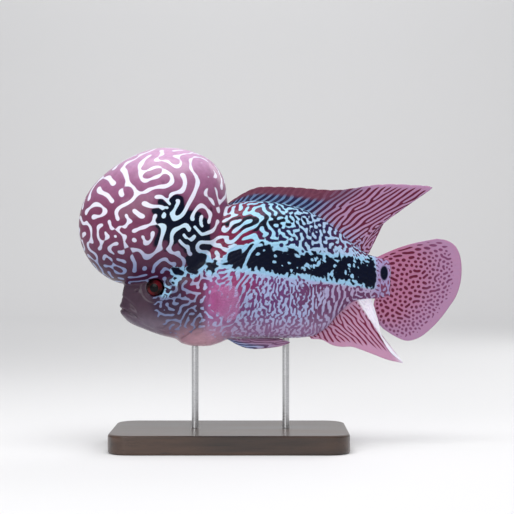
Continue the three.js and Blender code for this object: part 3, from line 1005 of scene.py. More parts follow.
def grid_quads(rows: int, columns: int) -> Array:
    """Faces of a grid of points stored row by row, (i+1, j), (i+1, j+1), (i, j+1), (i, j).

    Args:
        rows: Points along the first direction.
        columns: Points along the second.

    Returns:
        Corner indices, shape (faces, 4).
    """
    i, j = np.meshgrid(np.arange(rows - 1), np.arange(columns - 1), indexing="ij")
    a = (i * columns + j).ravel()
    return np.stack([a + columns, a + columns + 1, a + 1, a], 1)


def ring_quads(rings: int, ring: int) -> Array:
    """Faces between closed rings stored one by one, (i, j), (i+1, j), (i+1, j+1), (i, j+1).

    Args:
        rings: Number of rings.
        ring: Points in a ring.

    Returns:
        Corner indices, shape (faces, 4).
    """
    i, j = np.meshgrid(np.arange(rings - 1), np.arange(ring), indexing="ij")
    a, b = i * ring + j, i * ring + (j + 1) % ring
    return np.stack([a, a + ring, b + ring, b], -1).reshape(-1, 4)


@dataclass
class BodySkin:
    """The one skin of head, hump and trunk, and what it knows about places on itself."""

    grid: SkinGrid = field(default_factory=SkinGrid)
    relief: FaceRelief = field(default_factory=FaceRelief)

    def __post_init__(self) -> None:
        """Lays the rings, raises the relief of the face, and grows the marks."""
        smooth = self.grid.rings()
        LOG.info("skin rings %s", smooth.shape)
        self.marks = SkinMarks(smooth[::2, ::2]).build().at(self.finer)
        normal = ring_normals(smooth)
        x, z = smooth[..., 0], smooth[..., 2]
        on_face = (1 - self.grid.shape.hump_share(x, z))[..., None]
        self.points = smooth + normal * self.relief.height(x, z)[..., None] * on_face
        self.normals = ring_normals(self.points)

    @staticmethod
    def finer(coarse: Array) -> Array:
        """A field on every second point of the rings, with the means of neighbours put between.

        Args:
            coarse: The field.

        Returns:
            The field on all points.
        """
        rows = np.repeat(coarse, 2, 0)[:-1]
        rows[1::2] = (coarse[:-1] + coarse[1:]) / 2
        full = np.repeat(rows, 2, 1)
        full[:, 1::2] = (rows + np.roll(rows, -1, 1)) / 2
        return full

    def sample(self, field_values: Array, row: Array, column: Array) -> Array:
        """Value between grid points by the weighted mean of the four round it.

        Args:
            field_values: A field on the rings, with or without a last axis.
            row: Place along the fish, in rows.
            column: Place round the ring, in columns.

        Returns:
            The field at those places.
        """
        rows, columns = field_values.shape[:2]
        row = np.clip(row, 0, rows - 1.001)
        i, j = np.floor(row).astype(int), np.floor(column).astype(int)
        s, t = row - i, column - j
        if field_values.ndim == 3:
            s, t = s[..., None], t[..., None]
        j0, j1 = j % columns, (j + 1) % columns
        low = field_values[i, j0] * (1 - t) + field_values[i, j1] * t
        high = field_values[i + 1, j0] * (1 - t) + field_values[i + 1, j1] * t
        return low * (1 - s) + high * s

    def mesh(self) -> MeshData:
        """The skin at every second point, with a point for each pole and its unwrap as the map.

        Returns:
            The mesh.
        """
        points = self.points[::2, ::2]
        marks = self.marks.at(lambda f: f[::2, ::2])
        rows, ring = points.shape[:2]

        def packed(f: Array) -> Array:
            """Rings without the first and last, then the two poles."""
            flat = f[1:-1].reshape(((rows - 2) * ring,) + f.shape[2:])
            return np.concatenate([flat, f[:1, 0], f[-1:, 0]])

        quads = ring_quads(rows - 2, ring)
        u = (quads // ring + 1) / (rows - 1)
        v = (quads[:, :1] % ring + [0, 0, 1, 1]) / ring
        k = np.arange(ring)
        pole, last = (rows - 2) * ring, (rows - 3) * ring
        front = np.stack([np.full(ring, pole), k, (k + 1) % ring], 1)
        rear = np.stack([last + k, np.full(ring, pole + 1), last + (k + 1) % ring], 1)
        cap_u = np.repeat([[0, 1, 1], [rows - 2, rows - 1, rows - 2]], ring, axis=0) / (rows - 1)
        cap_v = np.concatenate([np.stack([k + 0.5, k, k + 1], 1), np.stack([k, k + 0.5, k + 1], 1)]) / ring
        unwrap = [np.stack(pair, -1).reshape(-1, 2) for pair in ((u, v), (cap_u, cap_v))]
        return MeshData(
            packed(points), quads, marks.at(packed), np.concatenate([front, rear]),
            corner_map=np.concatenate(unwrap),
        )


@dataclass
class ScaleCoat:
    """Overlapping scales on one flank, laid in staggered rows from the gill cover to the tail."""

    skin: BodySkin
    side: Side
    pitch: float = 4.2
    spread: float = 4.5
    length: float = 5.9
    width: float = 5.0
    lift: float = 0.26
    first_x: float = 52.0
    bands: int = 36
    middle_z: float = 60.0
    margin: float = 3.2
    patch: float = 0.003
    columns: int = 7
    steps: Sequence[float] = (0.0, 0.22, 0.45, 0.66, 0.82, 0.93, 0.99, 1.0)
    tucks: tuple[float, float, float] = (-0.2, -0.15, -0.1)

    def roots(self) -> tuple[Array, Array]:
        """Row and column of the middle of each scale, on the grid of the skin.

        Returns:
            Rows and columns, one of each for each scale.
        """
        points = self.skin.points
        half = points.shape[1] // 2
        left = self.side is Side.LEFT
        middle = points[:, half // 2 if left else half + half // 2, 0]
        stations = self.first_x + self.pitch * np.arange(self.bands)
        row_of = np.interp(stations, middle, np.arange(len(middle)))
        rows, places = [], []
        for k, row in enumerate(row_of):
            near = points[int(round(row))]
            one = near[: half + 1] if left else np.concatenate([near[half:], near[:1]])
            run = np.concatenate([[0], np.cumsum(np.linalg.norm(np.diff(one, axis=0), axis=1))])
            rising = slice(None) if left else slice(None, None, -1)
            centre = np.interp(self.middle_z, one[rising, 2], run[rising])
            marks = centre + (np.arange(-40, 41) + 0.5 * (k % 2)) * self.spread
            marks = marks[(marks > self.margin) & (marks < run[-1] - self.margin)]
            column = np.interp(marks, run, np.arange(len(run))) + (0 if left else half)
            rows.append(np.full(len(column), row))
            places.append(column)
        row, column = np.concatenate(rows), np.concatenate(places)
        x, _, z = self.skin.sample(points, row, column).T
        away, _ = line_distance(x, z, COVER_EDGE)
        behind = (away > 3.0) | (x > 68)
        low_front = (z < 12) & (x < 60)
        body = (self.skin.grid.shape.hump_share(x, z) < 0.25) & (x > 46) & (x < BODY_END - 4)
        keep = behind & body & ~low_front
        return row[keep], column[keep]

    def mesh(self) -> MeshData:
        """All scales of the flank as one mesh.

        A scale is a grid of s, front to rear, and t, across. It is as wide as a rounded tongue,
        W (0.92 (1 - |2s - 1|^3.2)^0.5 + 0.08), its height above the skin grows in step with s, and
        its outermost points go back under the skin.

        Returns:
            The mesh, whose map holds a small patch for each scale at its root on the skin's unwrap.
        """
        row, column = self.roots()
        skin = self.skin
        along = np.linalg.norm(skin.sample(np.gradient(skin.points, axis=0), row, column), axis=1)
        step = (np.roll(skin.points, -1, 1) - np.roll(skin.points, 1, 1)) / 2
        around = np.linalg.norm(skin.sample(step, row, column), axis=1)
        s, t = np.array(self.steps), np.linspace(-1, 1, self.columns)
        rim = np.sqrt(np.clip(1 - np.abs(2 * s - 1) ** 3.2, 0.0, 1)) * 0.92 + 0.08
        rim[-1] = rim[-2]
        rng = np.random.default_rng(5)
        grow = rng.uniform(0.95, 1.05, len(row))[:, None, None]
        a = (s[:, None] - 0.5 + 0 * t) * self.length * (1 - 0.10 * (t**2))
        b = rim[:, None] * t * self.width / 2
        height = self.lift * (0.15 + 0.85 * s[:, None]) * (1 - 0.35 * t**4)
        height = height + rng.uniform(-0.03, 0.03, len(row))[:, None, None]
        rear, sides, front = self.tucks
        height[:, -1] = rear
        height[:, :, 0] = height[:, :, -1] = sides
        height[:, 0] = front
        i = row[:, None, None] + a * grow / along[:, None, None]
        j = column[:, None, None] + b * grow / around[:, None, None]
        place = skin.sample(skin.points, i, j) + skin.sample(skin.normals, i, j) * height[..., None]
        marks = skin.marks.at(lambda f: skin.sample(f, i, j).reshape((-1,) + f.shape[2:]))
        n, rows, columns = len(row), len(s), len(t)
        first = (np.arange(n) * rows * columns)[:, None, None]
        quads = (grid_quads(rows, columns)[None] + first).reshape(-1, 4)
        root_u = row / (skin.points.shape[0] - 1)
        root_v = column / skin.points.shape[1]
        patch_u = root_u[:, None, None] + (s[:, None] - 0.5 + 0 * t) * self.patch
        patch_v = root_v[:, None, None] + (0 * s[:, None] + t / 2) * self.patch
        patch = np.clip(np.stack([patch_u, patch_v], -1).reshape(-1, 2), 0, 1)
        return MeshData(place.reshape(-1, 3), quads, marks, corner_map=patch[quads.reshape(-1)])


# Fins

DORSAL_RAYS = (
    (77.5, 103, 79.5, 106.8), (82, 105, 86.6, 111.6), (88, 106.5, 95.6, 116.8), (95, 107.5, 104.6, 119.7),
    (104, 107.5, 116, 119.8), (113, 106.5, 127, 119.6), (122, 105, 138, 118.9), (131, 102.5, 150, 117.8),
    (139, 99.5, 163, 117.5), (146, 95.8, 176, 119), (152.5, 91.2, 190, 121.2), (158, 86.8, 204, 121.9),
    (163, 82.6, 219, 121.3), (167, 79, 230.6, 120.5), (170, 76.2, 233.9, 118.8), (172.5, 74, 226, 115.1),
    (175, 71.8, 216.5, 111.8), (177, 70, 206.5, 103.8), (179, 68.3, 199, 94.7), (181, 66.8, 193.5, 84.2),
    (182.5, 65.6, 188.8, 75), (184, 64.6, 185, 68.5),
)
ANAL_RAYS = (
    (140, 9.5, 143, 5.6), (144, 11, 151, 5), (148, 13.2, 158.6, 1.2), (152, 16, 165.5, -0.2),
    (156, 19.5, 173.5, -0.2), (160, 23.6, 181.5, -2.8), (164, 27.8, 190, -6), (168, 31.6, 199.1, -9.5),
    (171, 34, 207, -11.4), (173.5, 35.6, 211.7, -12.1), (175.5, 36.8, 207, -8.5), (177.5, 37.8, 202.5, -4.4),
    (179.5, 38.4, 198.2, 2.2), (181.5, 38.6, 195.2, 9.2), (183.5, 38.8, 193.3, 17.8),
    (185.5, 38.9, 190.8, 26.2), (187, 39, 188.4, 34),
)
TAIL_RAYS = (
    (190, 66, 237, 80.8), (192.5, 65.2, 244.5, 79.6), (194.3, 64, 250.4, 76), (195.5, 61.6, 253.9, 70.3),
    (196.2, 58.8, 255.6, 62.6), (196.6, 55.8, 255.8, 54.4), (196.6, 52.8, 254.6, 46),
    (196.4, 49.8, 251.6, 37.4), (196, 47, 246.6, 29.6), (195.4, 44.5, 240.2, 21), (194.6, 42.4, 232.6, 13),
    (193.4, 40.4, 224.2, 6.6), (192.4, 38.8, 214.8, 4.2), (191.6, 37.6, 205.5, 7.8), (191, 36.8, 197, 13.5),
)
PECTORAL_RAYS = (
    (0, 4.6, 15, 13.5), (0.5, 3, 22, 14.2), (0.7, 2, 28, 10.5), (1, 1, 31, 5), (1, 0, 31.6, -0.5),
    (1, -1, 30, -6), (0.5, -3, 25, -11), (0, -4.6, 16, -12.5),
)
PELVIC_RAYS = (
    (80, 5.6, 113, -1), (80.4, 5.5, 119, -0.6), (81, 5.4, 126.8, 2.4), (81.8, 5.4, 123, 4.2),
    (83, 5.4, 112, 5),
)


@dataclass(frozen=True)
class FinPoints:
    """Points of a fin: u along it, v out from its base, x and z of the side view, and its lines."""

    u: Array
    v: Array
    x: Array
    z: Array
    worm: Array

    @property
    def clear(self) -> Array:
        """A mark that shows nowhere."""
        return np.full(self.u.shape, -1.0)


Shade = Callable[[FinPoints], Marks]


@dataclass
class Fin:
    """A thin fin between guide rays, each (base x, base z, tip x, tip z), with raised rays.

    At u along the fin and v out from its base a point lies at base (1 - v) + tip v, bent sideways
    in the plane by bow sin(pi v). Its half thickness is 0.4 (root (1 - sqrt v) + rim sqrt v) with
    a ridge on each ray, which thins towards the rim, and it closes round at the edges.
    """

    rays: Table
    shade: Shade
    root: float = 3.0
    rim: float = 0.8
    count: int = 18
    fork: float = 0.45
    ridge: float = 0.16
    along: int = 300
    across: int = 90
    scallop: float = 0.0
    wavelength: float = 3.4
    along_rays: float = 0.4
    bias: float = 0.0
    seed: int = 1
    rounds: int = 20
    steps: int = 48
    round_ends: float = 60.0
    round_rim: float = 22.0
    bow: Callable[[Array], Array] = lambda u: 0 * u
    sway: Callable[[Array, Array], Array] = lambda u, v: 0 * u
    place: Callable[[Array], Array] = lambda points: points

    def sheet(self, u: Array, v: Array) -> Array:
        """Middle of the fin, halfway between its two faces.

        Args:
            u: Place along the fin, 0 to 1.
            v: Place out from its base, 0 to 1.

        Returns:
            Points in millimetres.
        """
        base = spline([ray[:2] for ray in self.rays], u)
        tip = spline([ray[2:] for ray in self.rays], u)
        away = tip - base
        bend = (self.bow(u) * np.sin(np.pi * v))[..., None]
        flat = base + away * v[..., None] + bend * np.stack([-away[..., 1], away[..., 0]], -1)
        return np.stack([flat[..., 0], self.sway(u, v), flat[..., 1]], -1)

    def ray_wave(self, u: Array, v: Array) -> Array:
        """Ridge height of the rays, cos^6 across each ray, which splits in two past the fork.

        Args:
            u: Place along the fin, 0 to 1.
            v: Place out from its base, 0 to 1.

        Returns:
            The height, 1 on top of a ray.
        """
        single = np.cos(np.pi * self.count * u) ** 6
        double = np.cos(2 * np.pi * self.count * u + 0.5 * np.pi) ** 6
        split = smoothstep(self.fork, self.fork + 0.25, v)
        return single * (1 - split) + 0.75 * double * split

    def mesh(self) -> MeshData:
        """The fin as two sheets that share their edge points.

        Returns:
            The mesh with its marks.
        """
        u, v = np.meshgrid(np.linspace(0, 1, self.along), np.linspace(0, 1, self.across), indexing="ij")
        length = np.linalg.norm(self.sheet(u, v * 0 + 1) - self.sheet(u, v * 0), axis=2)
        notch = self.scallop * (1 - np.abs(np.cos(np.pi * self.count * u)) ** 0.7) / np.maximum(length, 4)
        reach = v * (1 - notch * v**3)
        middle = self.sheet(u, reach)
        normal = np.cross(np.gradient(middle, axis=0), np.gradient(middle, axis=1))
        normal /= np.maximum(np.linalg.norm(normal, axis=2, keepdims=True), 1e-9)
        normal *= np.where(normal[..., 1:2] > 0, -1, 1)
        edge = np.minimum(np.minimum(u, 1 - u) * self.round_ends, np.minimum(v, 1 - v) * self.round_rim)
        edge = np.sqrt(1 - (1 - np.clip(edge, 0, 1)) ** 2)
        thick = (self.root + (self.rim - self.root) * np.sqrt(v)) / 2
        thick = (thick * 0.8 + self.ridge * self.ray_wave(u, v) * (1 - 0.5 * v)) * edge
        flow = GridFlow(middle, closed=False)
        grow = np.full(u.shape, self.wavelength) * (1 - 0.35 * v)
        worm = flow.worms(grow, self.bias, self.bias, self.rounds, self.seed, self.steps, self.along_rays)
        marks = self.shade(FinPoints(u, v, middle[..., 0], middle[..., 2], worm))
        left = self.place(middle + normal * thick[..., None])
        right = self.place(middle - normal * thick[..., None])
        rows, columns = u.shape
        other = np.arange(rows * columns).reshape(rows, columns)
        inner = other[1:-1, 1:-1]
        other[1:-1, 1:-1] = rows * columns + np.arange(inner.size).reshape(inner.shape)

        def both(f: Array, second: Array | None = None) -> Array:
            """A field for the first sheet, then for the inner points of the second."""
            flat = [f, (f if second is None else second)[1:-1, 1:-1]]
            return np.concatenate([one.reshape((-1,) + f.shape[2:]) for one in flat])

        points = both(left, right)
        faces = grid_quads(rows, columns)
        quads = np.concatenate([faces, other.ravel()[faces[:, ::-1]]])
        corner = points[faces]
        facing = np.cross(corner[:, 1] - corner[:, 0], corner[:, 3] - corner[:, 0])
        outward = self.place(middle + normal)[:-1, :-1] - self.place(middle)[:-1, :-1]
        if (facing * outward.reshape(-1, 3)).sum() < 0:
            quads = quads[:, ::-1]
        values = {"ray": both(self.ray_wave(u, v)), "outward": both(v)}
        return MeshData(points, quads, marks.at(both), values=values)


def dorsal_marks(at: FinPoints) -> Marks:
    """Light blue streaks on navy in front, dark red stripes on lavender behind, a brown red edge.

    Args:
        at: Points of the fin.

    Returns:
        The marks.
    """
    soft = smoothstep(0.34, 0.5, at.u)
    edge = smoothstep(0.42, 0.66, at.v) * (1 - soft)
    foot = layered((136, 182, 214), ((150, 150, 190), soft))
    base = layered((38, 36, 70), ((92, 34, 56), soft), ((106, 58, 78), edge))
    line = layered(
        (104, 130, 170), ((164, 126, 160), soft), (foot, smoothstep(0.25, 0.0, at.v)), ((112, 64, 84), edge)
    )
    rim = 2.2 * smoothstep(0.88, 1.0, at.v) * soft
    return Marks(base, line, at.worm + mix(-0.4, 0.1, soft) + rim, at.clear)


def anal_marks(at: FinPoints) -> Marks:
    """Rose with dark red stripes along the rays and a white band down the rear edge.

    Args:
        at: Points of the fin.

    Returns:
        The marks.
    """
    rear = smoothstep(0.6, 0.68, at.u + 0.06 * at.v)
    rear = np.maximum(rear, smoothstep(0.48, 0.6, at.u) * smoothstep(0.8, 0.95, at.v))
    base = layered((116, 46, 72), ((230, 224, 240), rear))
    line = layered((184, 140, 170), ((240, 236, 248), rear))
    plain = smoothstep(0.7, 0.95, at.v) + 0.9 * smoothstep(0.1, 0.02, at.v)
    return Marks(base, line, at.worm + 0.35 + 2.0 * plain, at.clear)


def tail_marks(at: FinPoints) -> Marks:
    """Lavender pink with dark red dots, a plain rim and a black spot with a blue ring at the root.

    Args:
        at: Points of the fin.

    Returns:
        The marks.
    """
    inside = tail_spot(at.x, at.z)
    base = layered((96, 32, 56), ((118, 70, 104), smoothstep(0.45, 0.8, at.v)))
    line = layered(
        (168, 108, 140),
        ((166, 128, 162), smoothstep(0.3, 0.9, at.v)),
        ((150, 176, 214), smoothstep(-0.9, -0.4, inside)),
    )
    edge = smoothstep(0.84, 0.95, at.v) + smoothstep(0.08, 0.02, at.u) + smoothstep(0.93, 0.98, at.u)
    shown = at.worm - 0.75 + 2.4 * edge + 3 * smoothstep(-0.9, -0.5, inside)
    return Marks(base, line, shown, 2.5 * inside)


def pelvic_marks(at: FinPoints) -> Marks:
    """Bluish leading rays over dark skin, with a pinkish membrane behind.

    Args:
        at: Points of the fin.

    Returns:
        The marks.
    """
    lead = smoothstep(0.62, 0.3, at.u) * smoothstep(0.9, 0.45, at.v)
    base = layered((112, 78, 108), ((26, 28, 72), lead))
    line = layered((150, 118, 148), ((150, 162, 200), lead))
    return Marks(base, line, at.worm + 0.1, at.clear)


def pectoral_marks(at: FinPoints) -> Marks:
    """Clear rose, paler outwards."""
    base = layered((172, 92, 146), ((182, 124, 168), smoothstep(0.1, 0.9, at.v)))
    return Marks(base, base, at.clear, at.clear)


def turned(degrees: float, axis: int) -> Array:
    """Matrix of a turn about one axis, to multiply rows of points from the right.

    Args:
        degrees: Angle of the turn.
        axis: 0, 1 or 2 for x, y or z.

    Returns:
        The matrix, shape (3, 3).
    """
    c, s = math.cos(math.radians(degrees)), math.sin(math.radians(degrees))
    matrix = np.eye(3)
    i, j = (axis + 1) % 3, (axis + 2) % 3
    matrix[[i, i, j, j], [i, j, i, j]] = c, s, -s, c
    return matrix


def moved(
    turn: Array, foot: Sequence[float], root: Sequence[float], side: Side
) -> Callable[[Array], Array]:
    """A move of points: a turn about a foot, which goes to a root, mirrored for the right side.

    Args:
        turn: Matrix of the turn.
        foot: Point that the fin turns about.
        root: Where that point goes on the left side.
        side: Flank that the fin stands on.

    Returns:
        The move as a function of points.
    """
    flip = np.array([1, -side.value, 1])
    return lambda points: ((points - np.array(foot)) @ turn + np.array(root)) * flip


@dataclass
class FinSet:
    """All fins of the fish, each with its place, sway and marks."""

    pectoral_at: tuple[float, float, float] = (68.5, -27.6, 34.5)
    pectoral_splay: float = 50.0
    pectoral_dip: float = -4.0
    pelvic_foot: tuple[float, float, float] = (80.0, 0.0, 5.6)
    pelvic_y: float = -7.5
    pelvic_raise: float = 0.8
    pelvic_splay: float = 3.0
    pelvic_tilt: float = 24.0
    sway: float = 3.5

    def pectoral(self, side: Side) -> Fin:
        """The see-through fin behind the gill cover, turned out from the flank.

        Args:
            side: Flank that it stands on.

        Returns:
            The fin.
        """
        turn = turned(-self.pectoral_dip, 1) @ turned(-self.pectoral_splay, 2)
        place = moved(turn, (0, 0, 0), self.pectoral_at, side)
        return Fin(
            PECTORAL_RAYS, pectoral_marks, 1.5, 0.55, count=11, along=170, across=60, ridge=0.2,
            fork=0.35, scallop=0.7, sway=lambda u, v: 2.2 * v * v, place=place, seed=7,
        )

    def pelvic(self, side: Side) -> Fin:
        """The fin folded back along the belly.

        Args:
            side: Flank that it stands on.

        Returns:
            The fin.
        """
        turn = turned(-self.pelvic_tilt, 0) @ turned(-self.pelvic_splay, 2)
        root = np.array(self.pelvic_foot) + [0, self.pelvic_y, self.pelvic_raise]
        place = moved(turn, self.pelvic_foot, root, side)
        return Fin(
            PELVIC_RAYS, pelvic_marks, 1.7, 0.6, count=5, along=60, across=150, ridge=0.3, fork=0.5,
            bow=lambda u: -0.13 * (1 - u), place=place, wavelength=2.4, along_rays=0.1, seed=8,
        )

    @staticmethod
    def tail_bow(u: Array) -> Array:
        """Bend of the tail's rays, 0.045 at the top edge, -0.02 further down and -0.18 at the lowest."""
        return mix(0.045, -0.02, np.minimum(u * 3, 1)) - 0.16 * np.maximum(u - 0.85, 0) / 0.15

    def unpaired(self) -> dict[str, Fin]:
        """Dorsal, anal and tail fin.

        Returns:
            The fins by name.
        """
        swing = self.sway
        dorsal = Fin(
            DORSAL_RAYS, dorsal_marks, 3.1, 0.8, count=29, along=600, across=80, ridge=0.24, fork=0.7,
            scallop=0.6, sway=lambda u, v: -1.5 * v * v * np.sin(2 * np.pi * u), wavelength=3.3,
            along_rays=0.2, seed=2,
        )
        anal = Fin(
            ANAL_RAYS, anal_marks, 2.7, 0.8, count=17, along=340, across=100, ridge=0.2, fork=0.5,
            sway=lambda u, v: -swing * v * v * u, wavelength=2.9, along_rays=0.25, seed=3,
        )
        tail = Fin(
            TAIL_RAYS, tail_marks, 3.9, 0.8, count=15, along=360, across=130, ridge=0.2, fork=0.4,
            bow=self.tail_bow, sway=lambda u, v: swing * v * v * (u - 0.35), wavelength=3.9,
            along_rays=0.8, bias=1.2, seed=6,
        )
        return {"dorsal_fin": dorsal, "anal_fin": anal, "tail_fin": tail}


# Eyes


@dataclass
class Eye:
    """A flattened ball with a black pupil in a dark red iris, turned with the cheek."""

    side: Side
    shape: BodyShape = field(default_factory=BodyShape)
    x: float = 27.6
    z: float = 44.6
    radius: float = 7.2
    depth: float = 5.2
    out: float = 2.5
    yaw: float = 13.0
    roll: float = 4.0
    pupil: float = 0.52
    size: float = 6.4
    rings: int = 90
    turns: int = 128
    glow_at: float = 45.0

    def colour(self, share: Array, turn: Array, front: Array) -> Array:
        """Black pupil, dark red iris with streaks along its radii, and a dark rim.

        Args:
            share: Share of the way from the axis to the socket.
            turn: Angle round the axis.
            front: Whether a point is on the front half.

        Returns:
            Linear colours.
        """
        rng = np.random.default_rng(9)
        waves = (5, 9, 14, 23, 31)
        streak = sum(rng.uniform(0.3, 1) * np.sin(k * turn + rng.uniform(0, 6)) for k in waves) / 3
        glow = 0.5 + 0.5 * np.cos(2 * (turn - math.radians(self.glow_at)))
        iris = layered(
            (22, 5, 10),
            ((92, 10, 24), np.clip(glow**1.5 + 0.18 * streak, 0, 1)),
            ((16, 8, 12), smoothstep(0.84, 0.98, share)),
            ((150, 44, 40), bump(share - self.pupil - 0.03, 0.025) * 0.15),
        )
        within = smoothstep(self.pupil + 0.02, self.pupil - 0.02, share) * front
        return layered(mix(iris, (0.002, 0.002, 0.003), within), ((16, 8, 12), 1.0 * ~front))

    def mesh(self) -> MeshData:
        """The ball as rings about its axis, (sin a cos t, -cos a, sin a sin t) times the radii.

        Returns:
            The mesh with its colours.
        """
        a = np.linspace(0, np.pi, self.rings) ** 1.25 / np.pi**0.25
        t = 2 * np.pi * np.arange(self.turns) / self.turns
        angle, turn = np.meshgrid(a, t, indexing="ij")
        wide = self.radius * np.sin(angle)
        ball = np.stack([wide * np.cos(turn), -self.depth * np.cos(angle), wide * np.sin(turn)], -1)
        ball = ball @ turned(self.roll, 0) @ turned(-self.yaw, 2)
        flank = math.sqrt(float(self.shape.trunk(np.array(self.x), np.array(self.z))))
        centre = np.array([self.x, -(flank + self.out - self.depth), self.z])
        place = (ball + centre) * np.array([1, -self.side.value, 1])
        colour = self.colour(wide / self.size, turn, angle < np.pi / 2).reshape(-1, 3)
        quads = ring_quads(self.rings, self.turns)
        if self.side is Side.LEFT:
            quads = quads[:, ::-1]
        none = np.full(len(colour), -1.0)
        return MeshData(place.reshape(-1, 3), quads, Marks(colour, colour, none, none))


# Finishes


class Nodes:
    """Short ways to add and join shader nodes in one tree."""

    def __init__(self, tree: bpy.types.NodeTree) -> None:
        """Keeps the node tree of a material or a group."""
        self.tree = tree

    def add(self, kind: str, **settings: object) -> bpy.types.Node:
        """Adds a node and sets its properties.

        Args:
            kind: Node type without the ShaderNode prefix.
            settings: Properties by name.

        Returns:
            The node.
        """
        node = self.tree.nodes.new("ShaderNode" + kind)
        for key, value in settings.items():
            setattr(node, key, value)
        return node

    def join(self, source: bpy.types.NodeSocket, target: bpy.types.NodeSocket) -> None:
        """Links an output to an input."""
        self.tree.links.new(source, target)

    def put(self, target: bpy.types.NodeSocket, value: object) -> None:
        """Links an output to an input, or sets the input to a number or a colour.

        Args:
            target: The input.
            value: Output socket, number or colour of three channels.
        """
        if isinstance(value, bpy.types.NodeSocket):
            self.join(value, target)
        else:
            target.default_value = (*value, 1.0) if isinstance(value, tuple) else value

    def add_io(self) -> tuple[bpy.types.Node, bpy.types.Node]:
        """The input and output nodes of a group."""
        return self.tree.nodes.new("NodeGroupInput"), self.tree.nodes.new("NodeGroupOutput")

    def math(self, operation: str, *values: object, clamp: bool = False) -> bpy.types.NodeSocket:
        """A Math node over sockets or numbers.

        Args:
            operation: Name of the operation.
            values: Sockets or numbers, in order.
            clamp: Whether to hold the result in 0 to 1.

        Returns:
            The result socket.
        """
        node = self.add("Math", operation=operation, use_clamp=clamp)
        for socket, value in zip(node.inputs, values):
            self.put(socket, value)
        return node.outputs[0]

    def blend(self, share: object, first: object, second: object, mode: str = "MIX") -> bpy.types.NodeSocket:
        """A colour Mix node.

        Args:
            share: Socket or number.
            first: Socket or colour at share 0.
            second: Socket or colour at share 1.
            mode: Blend type.

        Returns:
            The mixed colour socket.
        """
        node = self.add("Mix", data_type="RGBA", blend_type=mode)
        for index, value in ((0, share), (6, first), (7, second)):
            self.put(node.inputs[index], value)
        return node.outputs[2]

    def attribute(self, name: str, output: str = "Fac") -> bpy.types.NodeSocket:
        """Reads a named attribute of the mesh."""
        return self.add("Attribute", attribute_name=name).outputs[output]

    def noise(
        self, scale: float, detail: float = 3.0, stretch: Sequence[float] = (1, 1, 1)
    ) -> bpy.types.NodeSocket:
        """Noise over Object coordinates, stretched by a factor for each axis.

        Args:
            scale: Features per metre.
            detail: Octaves of finer noise.
            stretch: Factors of the scale along x, y and z.

        Returns:
            The noise, 0 to 1.
        """
        place = self.add("TexCoord").outputs["Object"]
        mapping = self.add("Mapping")
        mapping.inputs["Scale"].default_value = stretch
        self.join(place, mapping.inputs["Vector"])
        node = self.add("TexNoise")
        node.inputs["Scale"].default_value = scale
        node.inputs["Detail"].default_value = detail
        self.join(mapping.outputs[0], node.inputs["Vector"])
        return node.outputs["Fac"]


class Shader(Nodes):
    """Nodes of a new material with one shader, whose constants are set on its own sockets."""

    def __init__(self, name: str, constants: dict[str, float | Sequence[float]]) -> None:
        """Makes the material.

        Args:
            name: Name of the material.
            constants: Values by the name of the shader's socket.
        """
        self.material = bpy.data.materials.new(name)
        self.material.use_nodes = True
        super().__init__(self.material.node_tree)
        self.inputs = self.tree.nodes["Principled BSDF"].inputs
        for key, value in constants.items():
            self.inputs[key].default_value = value

    def feed(self, name: str, source: bpy.types.NodeSocket) -> None:
        """Joins an output to one of the shader's sockets."""
        self.join(source, self.inputs[name])

    def relief(self, height: bpy.types.NodeSocket, distance: float, strength: float = 1.0) -> None:
        """Bumps the surface by a height.

        Args:
            height: The height, 0 to 1.
            distance: What a height of 1 stands for, in metres.
            strength: Share of the bump that shows.
        """
        node = self.add("Bump")
        node.inputs["Distance"].default_value = distance
        node.inputs["Strength"].default_value = strength
        self.join(height, node.inputs["Height"])
        self.feed("Normal", node.outputs[0])


BLACK_INK = (0.0003, 0.0022, 0.014)
GRAIN_SCALE = 1400.0
MOTTLE_SCALE = 260.0


def fish_marks_group() -> bpy.types.NodeTree:
    """Group that lays crisp lines and black marks over a base colour.

    Line share = smooth step of the worm value about 0, black share the same for the black value, and
    a fine noise shifts both a little so that their edges are not ruled.

    Returns:
        The group, with Colour, Dark and Pale outputs.
    """
    tree = bpy.data.node_groups.new("fish_marks", "ShaderNodeTree")
    sockets = {
        "INPUT": {"Color": ("Base", "Line"), "Float": ("Worm", "Black", "Edge", "Grain")},
        "OUTPUT": {"Color": ("Colour",), "Float": ("Dark", "Pale")},
    }
    for way, kinds in sockets.items():
        for kind, names in kinds.items():
            for name in names:
                tree.interface.new_socket(name=name, in_out=way, socket_type="NodeSocket" + kind)
    n = Nodes(tree)
    source, sink = n.add_io()
    grain = n.math("MULTIPLY", n.math("SUBTRACT", n.noise(GRAIN_SCALE, 4.0), 0.5), source.outputs["Grain"])

    def step(value: bpy.types.NodeSocket) -> bpy.types.NodeSocket:
        """Smooth step of a value plus grain, over the width Edge about 0.

        Args:
            value: Socket of the value.

        Returns:
            The share, 0 to 1.
        """
        node = n.add("MapRange", interpolation_type="SMOOTHSTEP")
        n.join(n.math("ADD", value, grain), node.inputs["Value"])
        n.join(n.math("MULTIPLY", source.outputs["Edge"], -1.0), node.inputs["From Min"])
        n.join(source.outputs["Edge"], node.inputs["From Max"])
        return node.outputs["Result"]

    pale, dark = step(source.outputs["Worm"]), step(source.outputs["Black"])
    mottle = n.math("MULTIPLY_ADD", n.noise(MOTTLE_SCALE, 3.0), 0.5, 0.75)
    shade = n.add("CombineColor")
    for socket in shade.inputs:
        n.join(mottle, socket)
    base = n.blend(1.0, source.outputs["Base"], shade.outputs[0], "MULTIPLY")
    lined = n.blend(pale, base, source.outputs["Line"])
    n.join(n.blend(dark, lined, BLACK_INK), sink.inputs["Colour"])
    n.join(dark, sink.inputs["Dark"])
    n.join(pale, sink.inputs["Pale"])
    return tree


